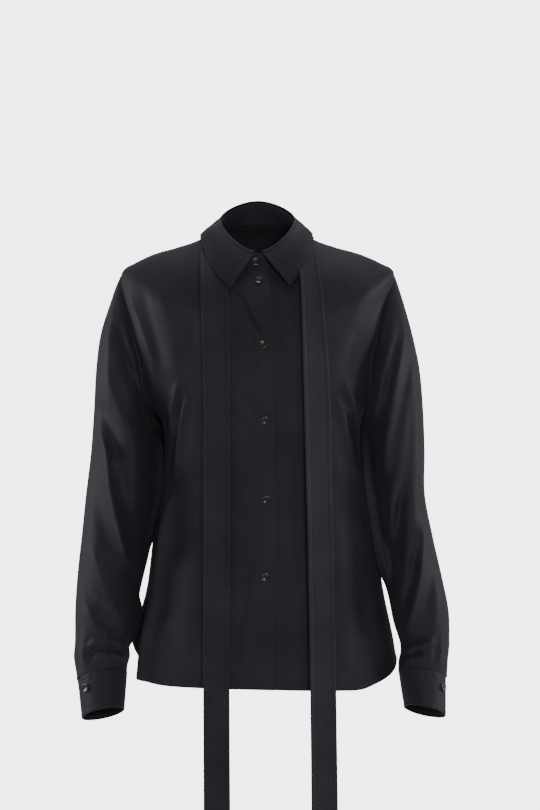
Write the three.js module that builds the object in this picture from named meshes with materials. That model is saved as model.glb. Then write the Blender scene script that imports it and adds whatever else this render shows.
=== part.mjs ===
// Tie neck blouse in its worn form, hollow and open at neck, hem and cuffs.
// Millimetres, +Z up. The front faces -Y and +X is the left side of the wearer.
// The origin is the middle of the neck at the height where the shoulders carry the blouse.
// In the tables left is the -X side and right the +X side. In the names of the solids right and
// left are the wearer's.
import * as THREE from 'three';

// Rows of numbers under named columns
function table(columns, rows) {
  const names = columns.split(' ');
  return rows.map((row) => Object.fromEntries(names.map((name, i) => [name, row[i]])));
}

// Walls and clearances
const CLOTH = 1.5;
const DOUBLE_CLOTH = 2.2;
const SEAM_GAP = 0.3;
const LAYER_GAP = 0.5;
const TIE_GAP = 1.4;

// Cut sizes
const PLACKET_WIDTH = 30;
const PLACKET_PROUD = 0.8;
const UNDERLAP = 13;
const STAND_HEIGHT = 26;
const STAND_LAP = 12;
const CUFF_LAP_DEGREES = 24;
const BUTTON_RADIUS = 6;
const BUTTON_THICK = 2.2;
const BUTTON_HOLE_RADIUS = 0.85;
const BUTTON_HOLE_OFFSET = 1.9;
const TIE_END_Z = -880;
const BUST_Z = -205;

// Levels counted down the cloth from the neckline: the shoulder point and the underarm
const SHOULDER_DROP = 128;
const UNDERARM_DROP = 264;
const ARMHOLE_SCOOP_FRONT = 29;
const ARMHOLE_SCOOP_BACK = 25;
const ARMHOLE_ROUNDNESS = 0.6;

// The back falls away from the neck to the shoulder on this power of the turn
const BACK_SLOPE_POWER = 1.4;
// Folds fade out where the cloth turns to the side, between these shares of facing
const FOLD_FACING_FROM = 0.3;
const FOLD_FACING_TO = 0.75;
// Steps across which the direction of the cloth is measured
const TURN_STEP = 0.004;
const DROP_STEP = 0.5;

// Rings of the body. Above the neckline, drop runs up the collar stand. Below the underarm,
// drop is the depth below the origin. sideZ, frontZ and backZ are the heights of a ring,
// left, middle and right its reach in X, fore and aft its reach in Y, square its corner power.
const BODY_RINGS = table('drop sideZ frontZ backZ left middle right fore aft square', [
  [-26, 22, -25, 54, -51, 2, 55, 60, 47, 2.4],
  [-13, 15, -37, 38, -58, 2, 61, 63, 51, 2.2],
  [0, 8, -49, 21, -66, 2, 68, 67, 56, 2.1],
  [20, -3, -62, 9, -83, 3, 85, 76, 66, 2.05],
  [48, -14, -77, -8, -115, 5, 116, 87, 73, 2.05],
  [76, -22.5, -95, -30, -145, 6.5, 147, 97, 80, 2.05],
  [104, -36, -115, -54, -175, 8, 179, 105, 86, 2],
  [128, -51, -134, -80, -195, 9, 200, 110, 91, 1.95],
  [150, -88, -153, -108, -199, 10, 194, 114, 95, 1.95],
  [180, -142, -180, -152, -199, 11, 192, 119, 97, 2],
  [222, -210, -223, -214, -182, 12, 180, 124, 95, 2],
  [245, -240, -246, -242, -160, 12.5, 165, 123, 92, 2.15],
  [264, -264, -264, -264, -138, 13, 151, 121, 89, 2.6],
  [322, -322, -322, -322, -133, 13.5, 156, 115, 84, 2.45],
  [384, -384, -384, -384, -139, 14.5, 165, 113, 84, 2.35],
  [435, -435, -435, -435, -149, 14.5, 173, 114, 88, 2.3],
  [510, -510, -510, -510, -159, 13.5, 184, 116, 98, 2.3],
  [583, -583, -583, -583, -180, 13, 199, 118, 108, 2.3],
  [680, -680, -680, -680, -192, 12, 214, 118, 113, 2.3],
]);

// Hem of each quarter: level, rise to the side seam, where the rise starts and its power
const HEM = {
  frontLeft: { level: -642, rise: 59, start: 45, power: 1.75 },
  frontRight: { level: -646, rise: 56, start: 35, power: 1.35 },
  backLeft: { level: -655, rise: 72, start: 30, power: 1.6 },
  backRight: { level: -655, rise: 65, start: 30, power: 1.6 },
};
// Degrees either side of the front middle over which the two levels meet
const HEM_MEET = 30;
// Drop at which a sleeve has come past the hem of the side seam
const SIDE_HEM_DROP = 592;

// Largest folds of the body, as straight stretches in X and Z; depth is + for a ridge
const BODY_FOLDS = table('face x1 z1 x2 z2 width depth', [
  ['front', -111, -320, -131, -444, 13, 4],
  ['front', -131, -444, -156, -604, 13, 5],
  ['front', -112, -218, -127, -278, 11, 4],
  ['front', -101, -242, -115, -320, 10, 4],
  ['front', -165, -64, -146, -111, 13, -3],
  ['front', 170, -58, 153, -110, 13, 3],
  ['front', 116, -231, 130, -289, 11, 4],
  ['front', 124, -211, 146, -313, 12, 4],
  ['front', 146, -313, 164, -469, 12, 4],
  ['front', -11, -433, -28, -631, 13, -3],
  ['front', 52, -420, 60, -640, 16, 3],
  ['front', 128, -500, 140, -640, 15, -4],
  ['front', -92, -470, -102, -632, 15, -4],
  ['back', -70, -180, -96, -420, 15, -4],
  ['back', 20, -240, 30, -640, 18, 5],
  ['back', 92, -170, 112, -400, 15, -4],
  ['back', -60, -400, -76, -640, 17, 5],
  ['back', 96, -420, 120, -640, 17, 5],
  ['back', -20, -120, 54, -150, 16, 3],
  ['back', -128, -470, -146, -620, 14, -4],
]);

// Outer edge of the collar leaf, as its angle round the neck and its reach past the neckline
const COLLAR_EDGE = table('angle drop', [
  [-18, 63],
  [-25, 52],
  [-42, 35],
  [-66, 20],
  [-95, 15],
  [-140, 15],
  [-180, 17],
  [-220, 15],
  [-265, 14],
  [-292, 18],
  [-312, 34],
  [-324, 42],
  [-340, 59],
]);
const LEAF_ROLL_LEFT = -5;
const LEAF_ROLL_RIGHT = -352;
const LEAF_OUT = 6.4;

// Edges of the two hanging ends of the tie, outer edge and inner edge, down to the bust
const TIE_RIGHT_EDGES = table('along outerX outerZ innerX innerZ', [
  [0, -81, -4, -58, 10],
  [14, -81, -13, -51, 1],
  [30, -80.5, -27, -45, -14],
  [50, -79.5, -46, -41.5, -36],
  [76, -78.5, -70, -40, -66],
  [116, -77.5, -108, -39, -106],
  [216, -74, -206, -36.5, -205],
  [420, -73.5, -410, -36.5, -409],
  [620, -74, -610, -37, -609],
  [891, -73, TIE_END_Z, -35.5, TIE_END_Z],
]);
const TIE_LEFT_EDGES = table('along outerX outerZ innerX innerZ', [
  [0, 83, -3, 62, 10],
  [14, 85, -13, 58, 0],
  [30, 87.5, -29, 59, -20],
  [50, 90, -50, 61, -44],
  [76, 93.5, -75, 63, -71],
  [116, 97, -114, 64.5, -112],
  [216, 104.5, -214, 67, -213],
  [420, 109, -416, 72.5, -415],
  [620, 113, -614, 76, -613],
  [890, 117, TIE_END_Z, 79, TIE_END_Z],
]);

// Sleeve sections, measured down the sleeve. outer and inner are the ends of a section seen
// from the front, middleY and halfDepth its place and size in Y, lift raises its front edge.
const SLEEVE_RIGHT = table('along outerX outerZ innerX innerZ middleY halfDepth lift', [
  [0, -197, -51, -140, -263, 0, 50, 0],
  [16, -204, -67, -139, -276, -3, 60, 0],
  [45, -213, -96, -135, -296, -8, 66, 0],
  [90, -225, -140, -130, -320, -13, 68, 0],
  [140, -231, -190, -128, -346, -18, 67, 0],
  [200, -234, -250, -131, -377, -22, 64, 1],
  [260, -238, -310, -141, -410, -26, 60, 2],
  [320, -245, -370, -152, -444, -29, 56, 3],
  [380, -251, -430, -160, -480, -32, 53, 5],
  [440, -257, -488, -168, -517, -36, 50, 7],
  [495, -260, -540, -171, -552, -39, 47, 9],
  [540, -260, -583, -182, -586, -43, 44, 11],
  [570, -262, -612, -182, -610, -46, 40, 12],
  [586, -260, -630, -186, -621, -47, 36, 12],
]);
const SLEEVE_LEFT = table('along outerX outerZ innerX innerZ middleY halfDepth lift', [
  [0, 202, -53, 152, -263, 0, 50, 0],
  [16, 207, -68, 152, -276, -3, 60, 0],
  [45, 215, -96, 150, -296, -8, 66, 0],
  [90, 226, -140, 150, -320, -13, 68, 0],
  [140, 236, -190, 152, -346, -18, 67, 0],
  [200, 241, -250, 156, -377, -22, 64, 1],
  [260, 243, -310, 162, -410, -26, 60, 2],
  [320, 243, -370, 168, -444, -29, 56, 3],
  [380, 254, -430, 179, -480, -32, 53, 5],
  [440, 267, -488, 190, -517, -36, 50, 6],
  [495, 277, -540, 197, -552, -39, 47, 7],
  [540, 277, -583, 207, -586, -43, 44, 8],
  [570, 274, -610, 206, -607, -46, 40, 9],
  [586, 275, -627, 204, -616, -47, 36, 9],
]);

// Cuffs: rings at the top seam and at the lower edge
const CUFF_RIGHT = table('down x y z halfX halfY outerDip lift', [
  [0, -221, -47, -630.5, 36.5, 34, -6, 12],
  [1, -219.5, -60, -683.5, 31.5, 35, -6.5, 10.5],
]);
const CUFF_LEFT = table('down x y z halfX halfY outerDip lift', [
  [0, 239, -47, -626, 35.5, 34, -6, 9],
  [1, 242.5, -60, -680, 31, 35, -6.5, 10],
]);
const CUFF_BUTTON_DOWN = 0.36;
const CUFF_RIGHT_BUTTON_ANGLE = 52;
const CUFF_LEFT_BUTTON_ANGLE = 40;

// Largest folds of the sleeves, as straight stretches in X and Z; depth is + for a ridge
const SLEEVE_FOLDS = table('face x1 z1 x2 z2 width depth', [
  ['front', -213, -135, -211, -231, 12, 4],
  ['front', -182, -142, -158, -206, 11, -5],
  ['front', -225, -253, -205, -382, 12, 5],
  ['front', -205, -382, -173, -489, 12, 5],
  ['front', -232, -394, -194, -536, 11, 5],
  ['front', -241, -590, -198, -586, 7, -3],
  ['front', -243, -330, -228, -350, 12, -4],
  ['front', 216, -111, 214, -231, 12, 4],
  ['front', 214, -231, 200, -325, 12, 4],
  ['front', 227, -206, 217, -382, 10, -5],
  ['front', 217, -382, 198, -498, 10, -5],
  ['front', 227, -459, 213, -543, 10, -5],
  ['front', 240, -429, 220, -567, 11, 5],
  ['front', 223, -587, 251, -583, 7, -3],
  ['back', -214, -150, -204, -330, 13, 4],
  ['back', -190, -250, -222, -400, 12, -5],
  ['back', -236, -420, -200, -560, 12, 5],
  ['back', 220, -140, 208, -300, 13, 4],
  ['back', 200, -260, 228, -410, 12, -5],
  ['back', 252, -430, 222, -560, 12, 5],
]);

// Mesh steps: levels of the shoulder, and counts round the armhole, below it and around
const SHOULDER_DROPS = [0.4, 12, 30, 52, 76, 104];
const ARMHOLE_STEPS = 12;
const LOWER_STEPS = 8;
const FRONT_COLUMNS = 12;
const BACK_COLUMNS = 18;
const PLACKET_COLUMNS = 3;
const CUFF_COLUMNS = 26;
const STAND_COLUMNS = 30;
const COLLAR_COLUMNS = 32;
const BAND_COLUMNS = 24;
const TIE_COLUMNS = 3;
const BUTTON_SIDES = 18;
const BUTTON_HOLE_SIDES = 6;
const SLEEVE_LEVELS = [
  0, 6, 18, 36, 62, 95, 135, 178, 222, 266, 310, 354, 398, 440, 478, 512, 542, 564, 586,
];

// Buttons of the front, by their place seen from the front
const FRONT_BUTTONS = [
  { x: 3.9, z: -65.8 },
  { x: 10.4, z: -156.7 },
  { x: 13.2, z: -263.1 },
  { x: 14.6, z: -375.2 },
  { x: 13.2, z: -484.4 },
];
const STAND_BUTTON = { x: -0.4, z: -37.8 };

const RADIANS = Math.PI / 180;
const UP = new THREE.Vector3(0, 0, 1);
const { clamp, lerp, smoothstep } = THREE.MathUtils;

// A row of a table between its rows, every column on a smooth curve through them
function sample(rows, key, at) {
  const sense = Math.sign(rows[1][key] - rows[0][key]);
  let i = 0;
  while (i < rows.length - 2 && (at - rows[i + 1][key]) * sense > 0) i += 1;
  const before = rows[Math.max(i - 1, 0)];
  const from = rows[i];
  const to = rows[i + 1];
  const after = rows[Math.min(i + 2, rows.length - 1)];
  const span = to[key] - from[key];
  const t = clamp((at - from[key]) / span, 0, 1);
  const row = {};
  for (const column of Object.keys(from)) {
    const slopeFrom = ((to[column] - before[column]) / (to[key] - before[key])) * span;
    const slopeTo = ((after[column] - from[column]) / (after[key] - from[key])) * span;
    row[column] = from[column] * (1 + 2 * t) * (1 - t) ** 2 + slopeFrom * t * (1 - t) ** 2
      + to[column] * t * t * (3 - 2 * t) + slopeTo * t * t * (t - 1);
  }
  return row;
}

// Body without folds: drop down the cloth, angle from the front middle towards +X
function bodyBase(drop, angle) {
  const ring = sample(BODY_RINGS, 'drop', drop);
  const sine = Math.sin(angle);
  const cosine = Math.cos(angle);
  const sum = Math.abs(sine) ** ring.square + Math.abs(cosine) ** ring.square;
  const round = sum ** (-1 / ring.square);
  const half = sine >= 0 ? ring.right - ring.middle : ring.middle - ring.left;
  const depth = cosine >= 0 ? ring.fore : ring.aft;
  const share = cosine >= 0 ? cosine * cosine : Math.abs(cosine) ** BACK_SLOPE_POWER;
  const endZ = cosine >= 0 ? ring.frontZ : ring.backZ;
  return new THREE.Vector3(
    ring.middle + half * round * sine,
    -depth * round * cosine,
    lerp(ring.sideZ, endZ, share),
  );
}

function bodyNormal(drop, angle) {
  const across = bodyBase(drop, angle + TURN_STEP).sub(bodyBase(drop, angle - TURN_STEP));
  const upward = bodyBase(drop - DROP_STEP, angle).sub(bodyBase(drop + DROP_STEP, angle));
  return across.cross(upward).normalize();
}

function foldDepth(folds, point, face) {
  let depth = 0;
  for (const fold of folds) {
    if (fold.face !== face) continue;
    const runX = fold.x2 - fold.x1;
    const runZ = fold.z2 - fold.z1;
    const offX = point.x - fold.x1;
    const offZ = point.z - fold.z1;
    const at = clamp((offX * runX + offZ * runZ) / (runX * runX + runZ * runZ), 0, 1);
    const away = Math.hypot(offX - at * runX, offZ - at * runZ);
    depth += fold.depth * Math.exp(-((away / fold.width) ** 2));
  }
  return depth;
}

// Body with its folds, out millimetres off the cloth
function bodyPoint(drop, angle, out = 0) {
  const point = bodyBase(drop, angle);
  const normal = bodyNormal(drop, angle);
  const facing = smoothstep(Math.abs(normal.y), FOLD_FACING_FROM, FOLD_FACING_TO);
  const fold = foldDepth(BODY_FOLDS, point, normal.y < 0 ? 'front' : 'back') * facing;
  return point.addScaledVector(normal, fold + out);
}

// Where the front of the body or stand is met at x and z, as drop and angle
const PLACE_STEPS = 40;
function frontPlace(x, z) {
  let low = BODY_RINGS[0].drop;
  let high = BODY_RINGS.at(-1).drop;
  let angle = 0;
  for (let step = 0; step < PLACE_STEPS; step += 1) {
    const drop = (low + high) / 2;
    const ring = sample(BODY_RINGS, 'drop', drop);
    const half = x >= ring.middle ? ring.right - ring.middle : ring.middle - ring.left;
    const reach = Math.abs(x - ring.middle) / half;
    let height = Infinity;
    if (reach < 1) {
      const ahead = (1 - reach ** ring.square) ** (1 / ring.square);
      angle = Math.atan2(reach, ahead) * Math.sign(x - ring.middle);
      height = lerp(ring.sideZ, ring.frontZ, Math.cos(angle) ** 2);
    }
    if (height > z) low = drop;
    else high = drop;
  }
  return { drop: high, angle };
}

function restOn(x, z, out) {
  const place = frontPlace(x, z);
  return bodyPoint(place.drop, place.angle, out);
}

// Drop that reaches the hem
function hemDrop(angle) {
  const turn = Math.atan2(Math.sin(angle), Math.cos(angle));
  const fromFront = Math.abs(turn) / RADIANS;
  const front = fromFront <= 90;
  const hem = HEM[(front ? 'front' : 'back') + (turn < 0 ? 'Left' : 'Right')];
  const off = front ? fromFront : 180 - fromFront;
  const rise = hem.rise * clamp((off - hem.start) / (90 - hem.start), 0, 1) ** hem.power;
  const step = front ? (HEM.frontRight.level - HEM.frontLeft.level) / 2 : 0;
  const share = smoothstep(off, 0, HEM_MEET);
  return -(hem.level + rise + (turn < 0 ? step : -step) * (1 - share));
}

// Half width of a ring on the side of an angle
function halfWidth(drop, side) {
  const ring = sample(BODY_RINGS, 'drop', drop);
  return side > 0 ? ring.right - ring.middle : ring.middle - ring.left;
}

// Angle of the outer edge of a panel: shoulder seam, armhole, then side seam
function edgeAngle(drop, front) {
  const ring = sample(BODY_RINGS, 'drop', drop);
  const halfGap = 0.55 * SEAM_GAP;
  const seam = Math.PI / 2 - halfGap / (front ? ring.fore : ring.aft);
  if (drop <= SHOULDER_DROP || drop >= UNDERARM_DROP) return seam;
  const share = (drop - SHOULDER_DROP) / (UNDERARM_DROP - SHOULDER_DROP);
  const scoop = front ? ARMHOLE_SCOOP_FRONT : ARMHOLE_SCOOP_BACK;
  return Math.min(seam, (90 - scoop * Math.sin(Math.PI * share) ** ARMHOLE_ROUNDNESS) * RADIANS);
}

// Drop of the armhole at a turn round the sleeve, 0 at the shoulder and pi at the underarm
const armholeDrop = (turn) => lerp(SHOULDER_DROP, UNDERARM_DROP, (1 - Math.cos(turn)) / 2);
const PANEL_DROPS = [...SHOULDER_DROPS];
for (let step = 0; step <= ARMHOLE_STEPS; step += 1) {
  PANEL_DROPS.push(armholeDrop((step / ARMHOLE_STEPS) * Math.PI));
}

// Levels of a panel as v from the hem, 0, to the neckline, 1
const PANEL_ROWS = PANEL_DROPS.length - 1 + LOWER_STEPS;
function panelDrop(level, angle) {
  if (level >= LOWER_STEPS) {
    const place = PANEL_ROWS - level;
    const index = Math.min(Math.floor(place), PANEL_DROPS.length - 2);
    return lerp(PANEL_DROPS[index], PANEL_DROPS[index + 1], place - index);
  }
  return lerp(hemDrop(angle), UNDERARM_DROP, level / LOWER_STEPS);
}

// Closed wall between an outer face, surface(u, v), and its copy moved in by the thickness.
// rows may be a count or a list of v values; facing is -1 where u runs clockwise from above.
function wall(surface, columns, rows, thickness, { closed = false, facing = 1, direct } = {}) {
  const levels = Array.isArray(rows) ? rows : Array.from({ length: rows + 1 }, (_, j) => j / rows);
  const across = closed ? columns : columns + 1;
  const step = 0.002;
  const outer = [];
  const inner = [];
  for (const v of levels) {
    for (let i = 0; i < across; i += 1) {
      const u = i / columns;
      const before = closed ? u - step : Math.max(u - step, 0);
      const after = closed ? u + step : Math.min(u + step, 1);
      const normal = surface(after, v).sub(surface(before, v))
        .cross(surface(u, Math.min(v + step, 1)).sub(surface(u, Math.max(v - step, 0))))
        .normalize().multiplyScalar(facing);
      const point = surface(u, v);
      outer.push(point);
      inner.push(point.clone().addScaledVector(direct ? direct(u, v, normal) : normal, -thickness));
    }
  }
  const count = outer.length;
  const faces = [];
  const quad = (a, b, c, d) => faces.push([a, b, c], [a, c, d]);
  const at = (i, j) => (i % across) + j * across;
  const last = levels.length - 1;
  for (let j = 0; j < last; j += 1) {
    for (let i = 0; i < columns; i += 1) {
      quad(at(i, j), at(i + 1, j), at(i + 1, j + 1), at(i, j + 1));
      quad(count + at(i, j + 1), count + at(i + 1, j + 1), count + at(i + 1, j), count + at(i, j));
    }
  }
  for (let i = 0; i < columns; i += 1) {
    quad(at(i + 1, 0), at(i, 0), count + at(i, 0), count + at(i + 1, 0));
    quad(at(i, last), at(i + 1, last), count + at(i + 1, last), count + at(i, last));
  }
  if (!closed) {
    for (let j = 0; j < last; j += 1) {
      quad(at(0, j), at(0, j + 1), count + at(0, j + 1), count + at(0, j));
      quad(at(columns, j + 1), at(columns, j), count + at(columns, j), count + at(columns, j + 1));
    }
  }
  if (facing < 0) faces.forEach((face) => face.reverse());
  const geometry = new THREE.BufferGeometry();
  const positions = [...outer, ...inner].flatMap((point) => point.toArray());
  geometry.setAttribute('position', new THREE.Float32BufferAttribute(positions, 3));
  geometry.setIndex(faces.flat());
  geometry.computeVertexNormals();
  return geometry;
}

// Materials
const CREPE = new THREE.Color('#222124');
const cloth = () => new THREE.MeshStandardMaterial({ color: CREPE, roughness: 0.72, metalness: 0 });
const polyester = () => new THREE.MeshStandardMaterial({ color: '#1b1817', roughness: 0.18, metalness: 0 });

const blouse = new THREE.Group();
function add(name, geometry, material) {
  const mesh = new THREE.Mesh(geometry, material);
  mesh.name = name;
  blouse.add(mesh);
  return mesh;
}

// Fronts: the one on -X ends at the placket, the one on +X runs on under it
const UNDERLAP_DEPTH = DOUBLE_CLOTH - PLACKET_PROUD + SEAM_GAP;
// Reach at which the under front starts to rise beside the placket, and where it has risen
const RISE_FROM = 22;
const RISE_TO = 38;
// Columns of the under front lie closer together towards the placket
const UNDERLAP_SPREAD = 1.25;
// Angle off the front or back middle whose levels a whole panel follows
const PANEL_MIDDLE = 0.8;
function frontRight(u, v) {
  const drop = panelDrop(v * PANEL_ROWS, -PANEL_MIDDLE);
  const start = -edgeAngle(drop, true);
  const end = -(PLACKET_WIDTH / 2 + SEAM_GAP) / halfWidth(drop, -1);
  const angle = lerp(start, end, u);
  return bodyPoint(panelDrop(v * PANEL_ROWS, angle), angle);
}
function frontLeft(u, v) {
  const drop = panelDrop(v * PANEL_ROWS, PANEL_MIDDLE);
  const start = -UNDERLAP / halfWidth(drop, -1);
  const angle = lerp(start, edgeAngle(drop, true), u ** UNDERLAP_SPREAD);
  const reach = angle * halfWidth(drop, 1);
  const under = UNDERLAP_DEPTH * (1 - smoothstep(reach, RISE_FROM, RISE_TO));
  return bodyPoint(panelDrop(v * PANEL_ROWS, angle), angle, -under);
}
function placket(u, v) {
  const drop = panelDrop(v * PANEL_ROWS, 0);
  const reach = lerp(-PLACKET_WIDTH / 2, PLACKET_WIDTH / 2, u);
  const angle = reach / halfWidth(drop, Math.sign(reach));
  return bodyPoint(panelDrop(v * PANEL_ROWS, angle), angle, PLACKET_PROUD);
}
function back(u, v) {
  const drop = panelDrop(v * PANEL_ROWS, Math.PI - PANEL_MIDDLE);
  const start = Math.PI - edgeAngle(drop, false);
  const angle = lerp(start, 2 * Math.PI - start, u);
  return bodyPoint(panelDrop(v * PANEL_ROWS, angle), angle);
}
add('front_right', wall(frontRight, FRONT_COLUMNS, PANEL_ROWS, CLOTH), cloth());
add('front_left', wall(frontLeft, FRONT_COLUMNS + 3, PANEL_ROWS, CLOTH), cloth());
add('back', wall(back, BACK_COLUMNS, PANEL_ROWS, CLOTH), cloth());
add('placket', wall(placket, PLACKET_COLUMNS, PANEL_ROWS, DOUBLE_CLOTH), cloth());

// Sleeves: side is -1 on -X and +1 on +X; turn 0 is the outer side, 90 degrees the front
function armholePlace(side, turn) {
  const drop = armholeDrop(turn);
  const front = Math.sin(turn) >= 0;
  const edge = edgeAngle(drop, front);
  return { drop, angle: side * (front ? edge : Math.PI - edge) };
}
function armholePoint(side, turn) {
  const place = armholePlace(side, turn);
  return bodyPoint(place.drop, place.angle);
}
function armholeNormal(side, turn) {
  const place = armholePlace(side, turn);
  return bodyNormal(place.drop, place.angle);
}
// Space inside the armhole that both of its edges face
const ARMHOLE_MIDDLE = { x: 190, z: -155 };
const ARMHOLE_TURN_STEP = 0.03;
const ARMHOLE_GAP = SEAM_GAP + 0.1;
const UNDERARM_PROUD = 0.5;
// How far a turn is towards the underarm
const underarmShare = (turn) => smoothstep(-Math.cos(turn), 0.45, 0.95);

function sleeveStart(side, turn) {
  const point = armholePoint(side, turn);
  const normal = armholeNormal(side, turn);
  const along = armholePoint(side, turn + ARMHOLE_TURN_STEP)
    .sub(armholePoint(side, turn - ARMHOLE_TURN_STEP));
  const away = along.cross(normal).normalize();
  const middle = new THREE.Vector3(side * ARMHOLE_MIDDLE.x, 0, ARMHOLE_MIDDLE.z);
  if (away.dot(middle.sub(point)) < 0) away.negate();
  return point.addScaledVector(away, ARMHOLE_GAP)
    .addScaledVector(normal, UNDERARM_PROUD * underarmShare(turn));
}
function sectionPoint(row, turn) {
  const middleX = (row.outerX + row.innerX) / 2;
  const middleZ = (row.outerZ + row.innerZ) / 2;
  return new THREE.Vector3(
    middleX + (row.outerX - middleX) * Math.cos(turn),
    row.middleY - row.halfDepth * Math.sin(turn),
    middleZ + (row.outerZ - middleZ) * Math.cos(turn) + row.lift * Math.sin(turn),
  );
}
// Space between a sleeve and the body: at the underarm, then below it, more off the side seam
const UNDERARM_SPACE = 0.6;
const SIDE_SPACE = 2.6;
const CORNER_SPACE = 4;
const SPACE_OPENS = 26;
const SPACE_CLOSES = 14;
// Presses a point of a sleeve off the side of the body
function clearOfBody(point, side) {
  if (point.z > -UNDERARM_DROP - 1) return point;
  const ring = sample(BODY_RINGS, 'drop', -point.z);
  const reach = Math.abs(point.y) / (point.y < 0 ? ring.fore : ring.aft);
  if (reach >= 1) return point;
  const half = side > 0 ? ring.right - ring.middle : ring.middle - ring.left;
  const opened = smoothstep(-point.z, UNDERARM_DROP, UNDERARM_DROP + SPACE_OPENS);
  const gap = UNDERARM_SPACE + (SIDE_SPACE + CORNER_SPACE * reach) * opened;
  const edge = half * (1 - reach ** ring.square) ** (1 / ring.square) + gap;
  const off = (point.x - ring.middle) * side;
  const besideHem = 1 - smoothstep(-point.z, SIDE_HEM_DROP, SIDE_HEM_DROP + SPACE_CLOSES);
  if (off < edge) point.x += side * (edge - off) * besideHem;
  return point;
}
function cuffPoint(rows, side, turn, down, inset = 0) {
  const row = sample(rows, 'down', down);
  return new THREE.Vector3(
    row.x + side * (row.halfX - inset) * Math.cos(turn),
    row.y - (row.halfY - inset) * Math.sin(turn),
    row.z + row.outerDip * Math.cos(turn) + row.lift * Math.sin(turn),
  );
}
// Lengths over which a sleeve takes its form from the armhole, and gives it up to the cuff
const ARMHOLE_BLEND = 120;
const ARMHOLE_BLEND_POWER = 1.5;
const CUFF_BLEND = 30;
const CUFF_GAP = SEAM_GAP + 0.2;
// Folds of a sleeve start below the armhole, stop above the cuff and fade at its sides
const SLEEVE_FOLDS_FROM = 60;
const SLEEVE_FOLDS_FADE = 560;
const SLEEVE_FOLDS_END = 580;
const SLEEVE_SIDE_POWER = 0.7;
function sleeve(rows, cuffRows, side) {
  const length = SLEEVE_LEVELS.at(-1);
  return (u, v) => {
    const turn = u * 2 * Math.PI;
    const along = (1 - v) * length;
    const row = sample(rows, 'along', along);
    const point = sectionPoint(row, turn);
    const start = sleeveStart(side, turn).sub(sectionPoint(rows[0], turn));
    point.addScaledVector(start, (1 - smoothstep(along, 0, ARMHOLE_BLEND)) ** ARMHOLE_BLEND_POWER);
    const facing = Math.abs(Math.sin(turn)) ** SLEEVE_SIDE_POWER;
    const inside = smoothstep(along, 0, SLEEVE_FOLDS_FROM)
      * (1 - smoothstep(along, SLEEVE_FOLDS_FADE, SLEEVE_FOLDS_END));
    const fold = foldDepth(SLEEVE_FOLDS, point, Math.sin(turn) > 0 ? 'front' : 'back');
    point.y -= Math.sign(Math.sin(turn)) * fold * facing * inside;
    const end = cuffPoint(cuffRows, side, turn, 0).addScaledVector(UP, CUFF_GAP + length - along);
    point.lerp(end, smoothstep(along, length - CUFF_BLEND, length));
    return clearOfBody(point, side);
  };
}
function sleeveWall(rows, cuffRows, side) {
  const length = SLEEVE_LEVELS.at(-1);
  const levels = SLEEVE_LEVELS.map((along) => 1 - along / length).reverse();
  const direct = (u, v, normal) => {
    if (v < 1) return normal;
    const turn = u * 2 * Math.PI;
    return armholeNormal(side, turn).lerp(normal, underarmShare(turn)).normalize();
  };
  const surface = sleeve(rows, cuffRows, side);
  return wall(surface, 2 * ARMHOLE_STEPS, levels, CLOTH, { closed: true, facing: -side, direct });
}
add('sleeve_right', sleeveWall(SLEEVE_RIGHT, CUFF_RIGHT, -1), cloth());
add('sleeve_left', sleeveWall(SLEEVE_LEFT, CUFF_LEFT, 1), cloth());

// Cuffs: a band that laps over its own start, which lies in by the lap's thickness
const LAP_RISE_FROM = 0.09;
const LAP_RISE_TO = 0.3;
function cuff(rows, side, buttonTurn) {
  const lap = CUFF_LAP_DEGREES * RADIANS;
  const start = buttonTurn * RADIANS - lap / 2;
  return (u, v) => {
    const turn = start + u * (2 * Math.PI + lap);
    const under = (DOUBLE_CLOTH + LAYER_GAP) * (1 - smoothstep(u, LAP_RISE_FROM, LAP_RISE_TO));
    return cuffPoint(rows, side, turn, 1 - v, under);
  };
}
function addCuff(name, rows, side, buttonTurn) {
  const surface = cuff(rows, side, buttonTurn);
  add(name, wall(surface, CUFF_COLUMNS, 2, DOUBLE_CLOTH, { facing: -side }), cloth());
}
addCuff('cuff_right', CUFF_RIGHT, -1, CUFF_RIGHT_BUTTON_ANGLE);
addCuff('cuff_left', CUFF_LEFT, 1, CUFF_LEFT_BUTTON_ANGLE);

// Collar stand: a band round the neck whose end from -X laps over its start
const STAND_RISE_FROM = 0.07;
const STAND_RISE_TO = 0.16;
const STAND_START_DROP = -2 * SEAM_GAP;
function stand(u, v) {
  const start = -STAND_LAP / halfWidth(0, -1);
  const turn = lerp(start, 2 * Math.PI - start, u);
  const under = (DOUBLE_CLOTH + LAYER_GAP) * (1 - smoothstep(u, STAND_RISE_FROM, STAND_RISE_TO));
  return bodyPoint(lerp(STAND_START_DROP, -STAND_HEIGHT, v), turn, -under);
}
add('collar_stand', wall(stand, STAND_COLUMNS, 2, DOUBLE_CLOTH), cloth());

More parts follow.
